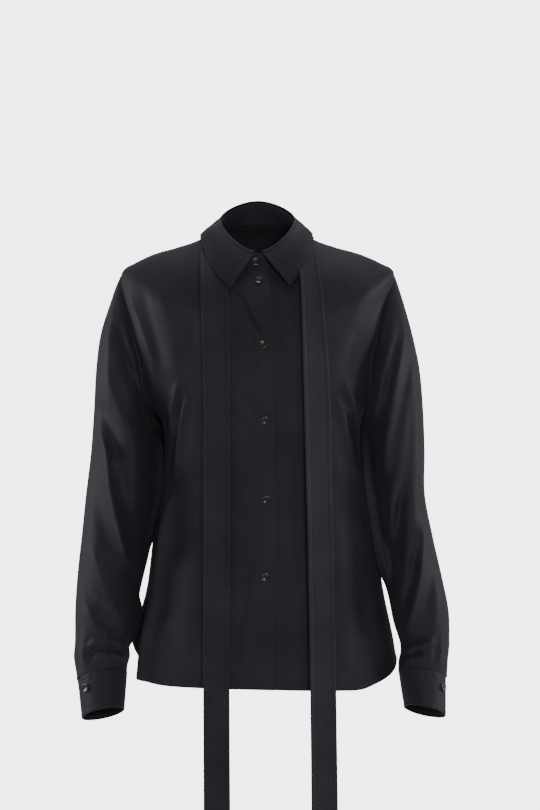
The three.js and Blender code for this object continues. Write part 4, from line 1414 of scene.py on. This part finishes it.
@dataclass
class Sewing:
    """Rows of stitches, each a short bar of thread half sunk in the cloth."""
    thread: bpy.types.Material
    long: float = 2.3
    pitch: float = 3.0
    thick: float = 0.42
    # Worked ends of a buttonhole: where they start to show, and how far off its middle line.
    hole_from: float = 5.2
    hole_side: float = 0.8
    bars: list[Matrix] = field(default_factory=list)

    def bar(self, start: np.ndarray, end: np.ndarray, thick: float) -> None:
        """Adds one bar of thread between two points in millimetres.

        Args:
            start: first point.
            end: second point.
            thick: thickness of the thread.
        """
        run = Vector(end - start)
        turn = Vector((1, 0, 0)).rotation_difference(run.normalized())
        size = Matrix.Diagonal((run.length / 2 * MM, thick / 2 * MM, thick / 2 * MM, 1.0))
        middle = Matrix.Translation(Vector((start + end) / 2) * MM)
        self.bars.append(middle @ turn.to_matrix().to_4x4() @ size)

    def row(self, surface: Surface, u: np.ndarray, v: np.ndarray, outward: int,
            lift: float = 0.1) -> None:
        """Adds a row of stitches.

        Args:
            surface: the cloth's surface.
            u: u along the row, at close steps.
            v: v along the row.
            outward: the surface's outward sign.
            lift: how far the thread's middle lies off the cloth, in millimetres.
        """
        path = surface(u, v) + across_surface(surface, u, v) * (outward * lift)
        run = np.concatenate([[0], np.cumsum(np.linalg.norm(np.diff(path, axis=0), axis=1))])
        count = int(run[-1] / self.pitch)
        starts = np.arange(count) * self.pitch + 0.3
        first = np.stack([np.interp(starts, run, path[:, c]) for c in range(3)], -1)
        last = np.stack([np.interp(starts + self.long, run, path[:, c]) for c in range(3)], -1)
        for a, b in zip(first, last):
            self.bar(a, b, self.thick)

    def line(self, surface: Surface, start: tuple[float, float], end: tuple[float, float],
             outward: int = 1) -> None:
        """Adds a row of stitches along a straight line of the surface, from (u, v) to (u, v)."""
        share = np.linspace(0, 1, 400)
        self.row(surface, lerp(start[0], end[0], share), lerp(start[1], end[1], share), outward)

    def buttonhole(self, place: Matrix, upright: bool, reach: float = 8.2) -> None:
        """Adds the worked ends of a buttonhole, which show past the button.

        Args:
            place: the button's place.
            upright: whether the hole runs up the cloth and not across it.
            reach: half the hole's length in millimetres.
        """
        for along in np.arange(self.hole_from, reach, self.thick):
            for sign in (-1, 1):
                for edge in (-self.hole_side, self.hole_side):
                    ends = [(side, sign * along, -0.25) for side in (edge * 0.3, edge * 1.7)]
                    self.placed_bar(place, ends, upright, self.thick)
        for sign in (-1, 1):
            ends = [(side, sign * reach, -0.2) for side in (-1.4, 1.4)]
            self.placed_bar(place, ends, upright, 1.6 * self.thick)

    def button_threads(self, place: Matrix, spacing: float = 1.34) -> None:
        """Adds the strands through a button's four holes.

        Args:
            place: the button's place.
            spacing: half the distance between two holes.
        """
        for side in (-spacing, spacing):
            for shift in (-0.28, 0.0, 0.28):
                ends = [(side + shift, end, 1.55) for end in (-spacing - 0.4, spacing + 0.4)]
                self.placed_bar(place, ends, True, self.thick)

    def placed_bar(self, place: Matrix, ends: list[tuple[float, float, float]], upright: bool,
                   thick: float) -> None:
        """Adds a bar between two points in millimetres of a place; upright keeps x across.

        Args:
            place: the place, in metres.
            ends: the two points.
            upright: whether x stays across; if not, x and y change places.
            thick: thickness of the thread.
        """
        points = []
        for x, y, z in ends:
            flat = (x, y, z) if upright else (y, x, z)
            points.append(np.array(place @ (Vector(flat) * MM)) / MM)
        self.bar(points[0], points[1], thick)

    def build(self, name: str) -> bpy.types.Object:
        """Makes the bars added so far into one piece and starts afresh.

        Args:
            name: the piece's name.

        Returns:
            The piece.
        """
        bm = bmesh.new()
        for matrix in self.bars:
            bmesh.ops.create_icosphere(bm, subdivisions=1, radius=1.0, matrix=matrix)
        obj = object_of(bm, name)
        for face in obj.data.polygons:
            face.use_smooth = True
        obj.data.materials.append(self.thread)
        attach(obj, "root")
        LOG.info("%s: %d stitches", name, len(self.bars))
        self.bars = []
        return obj


@dataclass(frozen=True)
class Lamp:
    """Soft square lamp aimed at a target, in metres and watts."""
    name: str
    place: tuple[float, float, float]
    target: tuple[float, float, float]
    size: float
    watts: float

    def build(self) -> None:
        """Makes the lamp."""
        light = bpy.data.lights.new(self.name, "AREA")
        light.size = self.size
        light.energy = self.watts
        obj = bpy.data.objects.new(self.name, light)
        obj.location = self.place
        aim = Vector(self.target) - Vector(self.place)
        obj.rotation_euler = aim.to_track_quat("-Z", "Y").to_euler()
        bpy.context.collection.objects.link(obj)


@dataclass
class Studio:
    """Pale room with a soft lamp on each side, one in front and one above."""
    eye: tuple[float, float, float] = (0.020, -4.2, -0.242)
    lens: float = 128.7
    lamps: tuple[Lamp, ...] = (
        Lamp("right", (2.9, 0.1, 0.3), (0.0, 0.0, -0.45), 1.2, 42.0),
        Lamp("left", (-2.9, 0.1, 0.3), (0.0, 0.0, -0.45), 1.2, 48.0),
        Lamp("front", (0.55, -3.3, 0.4), (0.0, 0.0, -0.45), 0.8, 27.0),
        Lamp("top", (0.2, 0.6, 2.3), (0.0, 0.0, -0.3), 1.4, 20.0))
    floor_z: float = -1.42
    floor_radius: float = 3.0
    backdrop: str = "#f4f3f4"
    light_strength: float = 0.18
    seen_strength: float = 5.15

    def build(self) -> None:
        """Makes the camera, lights, floor and surroundings."""
        camera = bpy.data.objects.new("view", bpy.data.cameras.new("view"))
        camera.location = self.eye
        camera.rotation_euler = (math.radians(90), 0, 0)
        camera.data.lens = self.lens
        bpy.context.collection.objects.link(camera)
        bpy.context.scene.camera = camera
        for lamp in self.lamps:
            lamp.build()
        self.floor()
        self.surroundings()

    def floor(self) -> None:
        """Round pale floor below the garment."""
        bm = bmesh.new()
        bmesh.ops.create_circle(bm, cap_ends=True, segments=96, radius=self.floor_radius,
                                matrix=Matrix.Translation((0, 0, self.floor_z)))
        obj = object_of(bm, "floor")
        obj.data.materials.append(PaintedFloor().build())

    def surroundings(self) -> None:
        """Even pale surroundings, dimmer as a light than as a backdrop."""
        world = bpy.data.worlds.new("room")
        world.use_nodes = True
        tree = world.node_tree
        tree.nodes.clear()
        ray = add_node(tree, "ShaderNodeLightPath")
        light = add_node(tree, "ShaderNodeBackground", inputs={
            "Color": linear(self.backdrop), "Strength": self.light_strength})
        seen = add_node(tree, "ShaderNodeBackground", inputs={
            "Color": linear(self.backdrop), "Strength": self.seen_strength})
        mixed = add_node(tree, "ShaderNodeMixShader", inputs={
            0: ray.outputs["Is Camera Ray"], 1: light.outputs[0], 2: seen.outputs[0]})
        add_node(tree, "ShaderNodeOutputWorld", inputs={"Surface": mixed.outputs[0]})
        bpy.context.scene.world = world


# Folds. The points of those on the front were read off the photo, in pixels. A scratch script
# turned many of them into millimetres, and some were changed by hand after that.
# The back has folds like them.

def body_folds() -> Folds:
    """Folds of the fronts and the back.

    Returns:
        The folds.
    """
    front, back = Face.FRONT, Face.BACK
    return Folds([
        # Front ridges under the bust, -X side.
        Fold(front, 7, 8, ((-110, -206), (-117, -270), (-126, -338)), sharp=0.9),
        Fold(front, 6, 7, ((-96, -222), (-105, -286), (-115, -346)), sharp=0.9),
        Fold(front, -4, 6, ((-103, -226), (-111, -280), (-120, -340))),
        Fold(front, 2, 9, ((-81, -224), (-89, -292), (-99, -357))),
        # Fine crests on the ridges.
        Fold(front, 3.6, 3.6, ((-110, -208), (-117, -270), (-126, -338), (-130, -405))),
        Fold(front, 3.0, 3.6, ((-97, -230), (-105, -286), (-115, -360))),
        Fold(front, 6, 3.6, ((-116, -350), (-124, -411), (-135, -473), (-143, -526), (-151, -581),
                             (-157, -634), (-163, -700)), past_edge=True),
        # Long ridge down to the corner of the hem.
        Fold(front, 15, 8, ((-113, -334), (-126, -411), (-139, -473), (-148, -526), (-156, -581),
                            (-161, -634), (-166, -700)), past_edge=True, sharp=0.8),
        # Trough behind it.
        Fold(front, -15, 6.5, ((-152, -500), (-162, -560), (-168, -600), (-172, -700)), fade=0.5,
             past_edge=True),
        Fold(front, -3, 12, ((-113, -405), (-125, -490), (-136, -576))),
        Fold(front, 2, 12, ((-85, -434), (-95, -533), (-102, -621))),
        # Soft roll beside the armhole.
        Fold(front, 3, 6, ((-190, -62), (-163, -130), (-147, -178), (-140, -240)), sharp=0.7),
        Fold(front, -2, 8, ((-168, -62), (-147, -136), (-130, -200))),
        Fold(front, 1.4, 10, ((-140, -70), (-122, -140), (-110, -214))),
        Fold(front, -2, 12, ((-93, -107), (-90, -178))),
        # Drag line from the collar point.
        Fold(front, -3.4, 4, ((-40, -66), (-14, -100), (-4, -121), (12, -146))),
        Fold(front, -1.6, 8, ((-28, -218), (-10, -242), (9, -260))),
        # Trough beside the placket.
        Fold(front, -3.5, 11, ((-10, -441), (-10, -490), (-21, -547), (-31, -627))),
        Fold(front, 2.5, 12, ((9, -462), (9, -533), (-2, -618))),
        Fold(front, -2, 14, ((57, -278), (60, -405), (63, -519))),
        # Soft fold at the shoulder, +X side.
        Fold(front, 1.6, 10, ((168, -66), (150, -99), (132, -132))),
        Fold(front, 1.8, 8, ((186, -72), (173, -116), (163, -170))),
        Fold(front, -1.5, 10, ((150, -126), (137, -167), (125, -205))),
        # Ridges under the bust, +X side.
        Fold(front, 7, 7, ((124, -206), (137, -248), (147, -286), (155, -334)), sharp=0.9),
        Fold(front, 6, 7, ((113, -228), (124, -275), (135, -312), (142, -360)), sharp=0.9),
        Fold(front, -5, 6, ((130, -250), (139, -294), (146, -344))),
        Fold(front, 2, 10, ((98, -249), (110, -300), (120, -357))),
        # Fine crests on the ridges.
        Fold(front, 3.2, 3.6, ((124, -206), (137, -248), (147, -286), (155, -344))),
        Fold(front, 2.8, 3.6, ((113, -228), (124, -275), (135, -312), (143, -368))),
        Fold(front, 4.5, 11, ((140, -346), (151, -384), (165, -434), (176, -490))),
        Fold(front, -3, 13, ((127, -377), (141, -448), (154, -533), (159, -604))),
        Fold(front, 2.5, 13, ((114, -462), (124, -547), (128, -632))),
        Fold(front, 3, 12, ((171, -505), (184, -562), (192, -607))),
        Fold(front, -1.8, 12, ((94, -405), (100, -519), (100, -604))),
        # Back: falls from the shoulder blades, drags to the armholes and flares at the hem.
        Fold(back, -4, 15, ((-70, -180), (-84, -300), (-96, -420))),
        Fold(back, 5, 18, ((20, -240), (24, -430), (30, -640))),
        Fold(back, -4, 15, ((92, -170), (104, -290), (112, -400))),
        Fold(back, 5, 17, ((-60, -380), (-70, -520), (-76, -648))),
        Fold(back, 5, 17, ((96, -400), (110, -520), (120, -640))),
        Fold(back, 3, 16, ((-30, -118), (14, -130), (58, -150))),
        Fold(back, -4, 14, ((-118, -440), (-136, -540), (-146, -612))),
        Fold(back, 4, 9, ((-128, -200), (-112, -262), (-104, -330))),
        Fold(back, 3, 8, ((-120, -250), (-98, -330), (-90, -410))),
        Fold(back, 4, 9, ((134, -196), (122, -262), (112, -336))),
        Fold(back, -3, 9, ((122, -220), (104, -300), (98, -372))),
        Fold(back, -3.5, 12, ((-18, -330), (-24, -470), (-20, -640))),
        Fold(back, 3, 10, ((-96, -470), (-108, -560), (-112, -640))),
        Fold(back, -3.5, 12, ((62, -380), (72, -500), (76, -644))),
        Fold(back, 4, 11, ((146, -470), (158, -550), (164, -626))),
    ])


def right_sleeve_folds() -> Folds:
    """Folds of the sleeve on -X.

    Returns:
        The folds.
    """
    front, back = Face.FRONT, Face.BACK
    return Folds([
        # Ridges from the shoulder down the outer side.
        Fold(front, 3.5, 5, ((-203, -80), (-212, -146), (-212, -221), (-207, -268)), sharp=0.7),
        Fold(front, 4, 9, ((-218, -181), (-203, -229), (-182, -275), (-165, -309)), sharp=0.4),
        Fold(front, -9, 11, ((-198, -118), (-178, -195), (-155, -238), (-144, -278))),
        Fold(front, 3, 6, ((-188, -92), (-174, -144), (-156, -195), (-149, -224)), sharp=0.6),
        Fold(front, -8, 10, ((-224, -235), (-205, -280), (-191, -329))),
        # Long sharp ridge, and a fine crest on it.
        Fold(front, 12, 8, ((-226, -269), (-213, -309), (-208, -355), (-199, -399), (-186, -451),
                           (-171, -491)), sharp=0.9),
        Fold(front, 4.5, 3.6, ((-226, -269), (-213, -309), (-208, -355), (-199, -399), (-186, -451),
                             (-171, -491))),
        # Deep hollow between that ridge and the body.
        Fold(front, -44, 20, ((-152, -190), (-141, -260), (-139, -330), (-146, -410), (-160, -480),
                             (-171, -540)), fade=0.3),
        Fold(front, -5, 9, ((-196, -323), (-185, -377), (-169, -446))),
        Fold(front, -4, 11, ((-233, -335), (-223, -392), (-208, -446), (-191, -494))),
        Fold(front, 3.5, 12, ((-169, -292), (-164, -349), (-159, -406))),
        # Ridge to the inner wrist.
        Fold(front, 4.5, 8, ((-239, -432), (-221, -481), (-205, -524), (-188, -551)), sharp=0.5),
        Fold(front, -4, 8, ((-228, -520), (-211, -551), (-188, -568))),
        Fold(front, 2.5, 6, ((-245, -528), (-226, -557), (-208, -574))),
        Fold(front, -3, 8, ((-253, -463), (-242, -506), (-228, -537))),
        # Bunched cloth above the cuff.
        Fold(front, -6, 4.5, ((-243, -604), (-228, -590), (-209, -587), (-184, -596))),
        Fold(front, 4, 4, ((-245, -590), (-228, -578), (-206, -576), (-186, -584))),
        Fold(front, 4.5, 4, ((-240, -614), (-224, -602), (-203, -598), (-182, -608))),
        Fold(front, -4, 3.5, ((-242, -622), (-226, -612), (-208, -610), (-188, -618))),
        Fold(front, 2, 7, ((-259, -560), (-250, -591), (-245, -617))),
        # Back: a hollow inside the elbow, long falls below it and cloth bunched at the cuff.
        Fold(back, 4, 12, ((-214, -120), (-212, -220), (-200, -330))),
        Fold(back, -5, 11, ((-176, -150), (-196, -260), (-224, -390))),
        Fold(back, 5, 9, ((-236, -380), (-224, -470), (-200, -560))),
        Fold(back, -4, 9, ((-250, -400), (-240, -500), (-222, -580))),
        Fold(back, 3.5, 8, ((-176, -330), (-190, -420), (-196, -500))),
        Fold(back, -4, 5, ((-252, -598), (-228, -592), (-202, -600))),
        Fold(back, 3, 5, ((-250, -586), (-226, -580), (-206, -586))),
    ])


def left_sleeve_folds() -> Folds:
    """Folds of the sleeve on +X.

    Returns:
        The folds.
    """
    front, back = Face.FRONT, Face.BACK
    return Folds([
        # Deep hollow beside the body.
        Fold(front, -26, 11, ((167, -235), (163, -290), (168, -350), (178, -415), (192, -470),
                              (198, -520)), fade=0.3),
        # Long ridges from the shoulder.
        Fold(front, 4.5, 7, ((208, -80), (213, -144), (198, -215), (186, -289), (181, -345)),
             sharp=0.7),
        Fold(front, -4, 8, ((224, -137), (213, -215), (199, -289), (190, -355))),
        Fold(front, 3.5, 8, ((200, -92), (194, -149), (181, -206), (168, -249))),
        Fold(front, -3.5, 7, ((203, -135), (190, -198), (177, -246), (168, -286))),
        Fold(front, 4, 8, ((183, -212), (170, -252), (160, -289))),
        Fold(front, 3, 7, ((226, -150), (232, -249), (231, -330), (226, -420)), sharp=0.5),
        Fold(front, -2.5, 8, ((222, -215), (218, -292), (213, -343), (210, -402))),
        # Deep trough towards the inner wrist.
        Fold(front, -12, 10, ((206, -345), (201, -427), (193, -506), (189, -545))),
        Fold(front, 4, 8, ((200, -335), (194, -392), (188, -446))),
        # Bright ridge to the wrist.
        Fold(front, 10, 8, ((240, -394), (240, -434), (234, -484), (221, -537), (210, -580)),
             sharp=0.8),
        Fold(front, -5, 7, ((228, -440), (221, -489), (212, -526), (202, -566))),
        Fold(front, 2.5, 6, ((218, -434), (213, -477), (204, -520))),
        Fold(front, -3.5, 9, ((253, -434), (250, -491), (240, -546))),
        Fold(front, 3, 10, ((258, -463), (260, -520), (254, -571))),
        # Bunched cloth above the cuff.
        Fold(front, -10, 4, ((198, -614), (210, -604), (222, -597), (240, -592))),
        Fold(front, 4, 4, ((204, -594), (220, -588), (238, -582), (258, -576))),
        Fold(front, 4, 4, ((208, -622), (222, -609), (238, -601), (260, -598))),
        Fold(front, -3, 3.5, ((214, -626), (229, -616), (251, -611))),
        Fold(front, -2, 5, ((212, -578), (230, -571), (252, -562))),
        # Back: like the other sleeve, a little fuller.
        Fold(back, 4, 12, ((222, -130), (216, -220), (206, -330))),
        Fold(back, -5, 11, ((186, -170), (204, -270), (232, -400))),
        Fold(back, 5, 9, ((250, -380), (240, -480), (220, -566))),
        Fold(back, -4, 9, ((266, -430), (258, -510), (238, -588))),
        Fold(back, 3.5, 8, ((192, -340), (206, -430), (214, -510))),
        Fold(back, -4, 5, ((216, -596), (240, -590), (266, -600))),
        Fold(back, 3, 5, ((218, -584), (242, -578), (264, -588))),
    ])


def sleeve_forms(body: BodyForm) -> list[SleeveForm]:
    """Both sleeves, the one on -X first.

    Args:
        body: form of the body.

    Returns:
        The two sleeves.
    """
    columns = "along outerX outerZ innerX innerZ middleY halfDepth lift"
    rings = "down x y z halfX halfY outerDip lift"
    right = Table(
        columns, (0, -197, -51, -140, -263, 0, 50, 0), (16, -204, -67, -139, -276, -3, 60, 0),
        (45, -213, -96, -135, -296, -8, 66, 0), (90, -225, -140, -130, -320, -13, 68, 0),
        (140, -231, -190, -128, -346, -18, 67, 0), (200, -234, -250, -131, -377, -22, 64, 1),
        (260, -238, -310, -141, -410, -26, 60, 2), (320, -245, -370, -152, -444, -29, 56, 3),
        (380, -251, -430, -160, -480, -32, 53, 5), (440, -257, -488, -168, -517, -36, 50, 7),
        (495, -260, -540, -171, -552, -39, 47, 9), (540, -260, -583, -182, -586, -43, 44, 11),
        (570, -262, -612, -182, -610, -46, 40, 12), (586, -260, -630, -186, -621, -47, 36, 12))
    left = Table(
        columns, (0, 202, -53, 152, -263, 0, 50, 0), (16, 207, -68, 152, -276, -3, 60, 0),
        (45, 215, -96, 150, -296, -8, 66, 0), (90, 226, -140, 150, -320, -13, 68, 0),
        (140, 236, -190, 152, -346, -18, 67, 0), (200, 241, -250, 156, -377, -22, 64, 1),
        (260, 243, -310, 162, -410, -26, 60, 2), (320, 243, -370, 168, -444, -29, 56, 3),
        (380, 254, -430, 179, -480, -32, 53, 5), (440, 267, -488, 190, -517, -36, 50, 6),
        (495, 277, -540, 197, -552, -39, 47, 7), (540, 277, -583, 207, -586, -43, 44, 8),
        (570, 274, -610, 206, -607, -46, 40, 9), (586, 275, -627, 204, -616, -47, 36, 9))
    right_cuff = Table(rings, (0, -221, -47, -630.5, 36.5, 34, -6, 12),
                       (1, -219.5, -60, -683.5, 31.5, 35, -6.5, 10.5))
    left_cuff = Table(rings, (0, 239, -47, -626, 35.5, 34, -6, 9),
                      (1, 242.5, -60, -680, 31, 35, -6.5, 10))
    return [
        SleeveForm(body, -1, right, right_cuff, right_sleeve_folds(), 52.0, "right", (425, 534)),
        SleeveForm(body, 1, left, left_cuff, left_sleeve_folds(), 40.0, "left", (478, 640))]


def button_matrix(point: np.ndarray, normal: np.ndarray) -> Matrix:
    """Place of a button in metres: x across, y up the cloth and z out of its face.

    Args:
        point: where its back lies, in millimetres.
        normal: outward direction of the cloth there.

    Returns:
        The place.
    """
    out = Vector(normal).normalized()
    up = (Vector((0, 0, 1)) - out * out.z).normalized()
    turn = Matrix((up.cross(out), up, out)).transposed().to_4x4()
    return Matrix.Translation(Vector(point) * MM) @ turn


def sew_rows(panels: Panels, neck: Neck, sleeves: list[SleeveForm], sewing: Sewing) -> None:
    """Makes the rows of stitches that show, piece by piece.

    Args:
        panels: fronts, placket and back.
        neck: collar and tie.
        sleeves: both sleeves.
        sewing: what makes the stitches.
    """
    body, run = panels.body, np.linspace(0, 1, 500)
    for surface, angles in ((panels.right_front, (-1.5, -0.1)), (panels.left_front, (0.1, 1.5)),
                            (panels.back, (1.65, 4.63))):
        angle = lerp(*angles, run)
        low = body.hem_drop(angle) - body.underarm_drop
        level = body.underarm_level * panels.hem_depth / low
        sewing.row(surface, np.linspace(0.01, 0.99, 500), level, 1)
    sewing.build("hem_stitches")
    stitch = panels.placket_stitch / panels.placket_width
    for u in (stitch, 1 - stitch):
        sewing.line(panels.placket, (u, 0.01), (u, 0.99))
    sewing.build("placket_stitches")

    flat = 1 - neck.roll_share
    tall = np.linalg.norm(neck.leaf(run, run * 0 + flat) - neck.leaf(run, run * 0), axis=-1)
    inside = (run > 0.016) & (run < 0.984)
    sewing.row(neck.leaf, run[inside], (flat * EDGE_STITCH / tall)[inside], 1)
    end = EDGE_STITCH / neck.round_neck
    near = round(end * len(run))
    for u, edge in ((end, tall[near]), (1 - end, tall[-1 - near])):
        sewing.line(neck.leaf, (u, flat * EDGE_STITCH / edge), (u, 0.86))
    low, end = SEAM_STITCH / neck.stand_height, 1 - neck.stand_stitch / neck.round_neck
    sewing.line(neck.stand, (0.12, low), (end, low))
    sewing.line(neck.stand, (end, low), (end, 0.94))
    sewing.build("collar_stitches")
    side, low = EDGE_STITCH / neck.tie_width, EDGE_STITCH / neck.tie_length
    for surface in neck.hanging_ends().values():
        for u in (side, 1 - side):
            sewing.line(surface, (u, low), (u, 0.995))
        sewing.line(surface, (side, low), (1 - side, low))
    sewing.build("tie_stitches")

    for sleeve in sleeves:
        end, low = EDGE_STITCH / sleeve.cuff_length, EDGE_STITCH / sleeve.cuff_height
        high = 1 - sleeve.top_stitch / sleeve.cuff_height
        for v in (low, high, 1 - SEAM_STITCH / sleeve.cuff_height):
            sewing.line(sleeve.cuff, (end, v), (0.92, v), -sleeve.side)
        sewing.line(sleeve.cuff, (end, low), (end, high), -sleeve.side)
        sewing.build(f"cuff_{sleeve.label}_stitches")


def sew_buttons(body: BodyForm, sleeves: list[SleeveForm], sewing: Sewing) -> None:
    """Makes the eight buttons with their buttonholes and threads.

    Args:
        body: form of the body.
        sleeves: both sleeves.
        sewing: what makes the stitches.
    """
    polyester = CastPolyester().build()
    button = Button()
    # x and z of each button's middle, and how far off the form its back lies.
    places = {"button_stand": (-0.4, -37.8, 0.3), "button_front_1": (3.9, -65.8, 1.1),
              "button_front_2": (10.4, -156.7, 1.1), "button_front_3": (13.2, -263.1, 1.1),
              "button_front_4": (14.6, -375.2, 1.1), "button_front_5": (13.2, -484.4, 1.1)}
    for node, (x, z, out) in places.items():
        drop, angle = body.front_place(np.array([x]), np.array([z]))
        point, normal = body.point(drop, angle, out)[0], body.normal(drop, angle)[0]
        place = button_matrix(point, normal)
        button.build(f"{node}_cast", node, polyester, place)
        sewing.buttonhole(place, node != "button_stand")
        sewing.button_threads(place)
    for sleeve in sleeves:
        turn, down = np.radians([sleeve.button_turn]), np.array([0.36])
        point = sleeve.cuff_point(turn, down)
        across = sleeve.cuff_point(turn + 0.02, down) - point
        normal = np.cross(across, sleeve.cuff_point(turn, down + 0.02) - point)
        normal = unit(normal * np.where(normal[..., :1] * sleeve.side < 0, -1.0, 1.0))
        node = f"button_cuff_{sleeve.label}"
        place = button_matrix((point + normal * 0.6)[0], normal[0])
        button.build(f"{node}_cast", node, polyester, place)
        sewing.buttonhole(place, False)
        sewing.button_threads(place)
    sewing.build("button_sewing")


def main() -> None:
    """Builds the studio and the blouse."""
    logging.basicConfig(level=logging.INFO, format="%(name)s %(message)s")
    Studio().build()
    crepe = WovenCrepe().build()
    body = BodyForm(body_folds())
    sleeves = sleeve_forms(body)
    panels, neck, sewing = Panels(body), Neck(body), Sewing(SpunThread().build())
    pieces = panels.pieces() + neck.pieces()
    for sleeve in sleeves:
        pieces += sleeve.pieces()
    for piece in sorted(pieces, key=lambda p: bool(p.rests_on)):
        piece.build(crepe)
    sew_rows(panels, neck, sleeves, sewing)
    sew_buttons(body, sleeves, sewing)


if __name__ == "__main__":
    main()
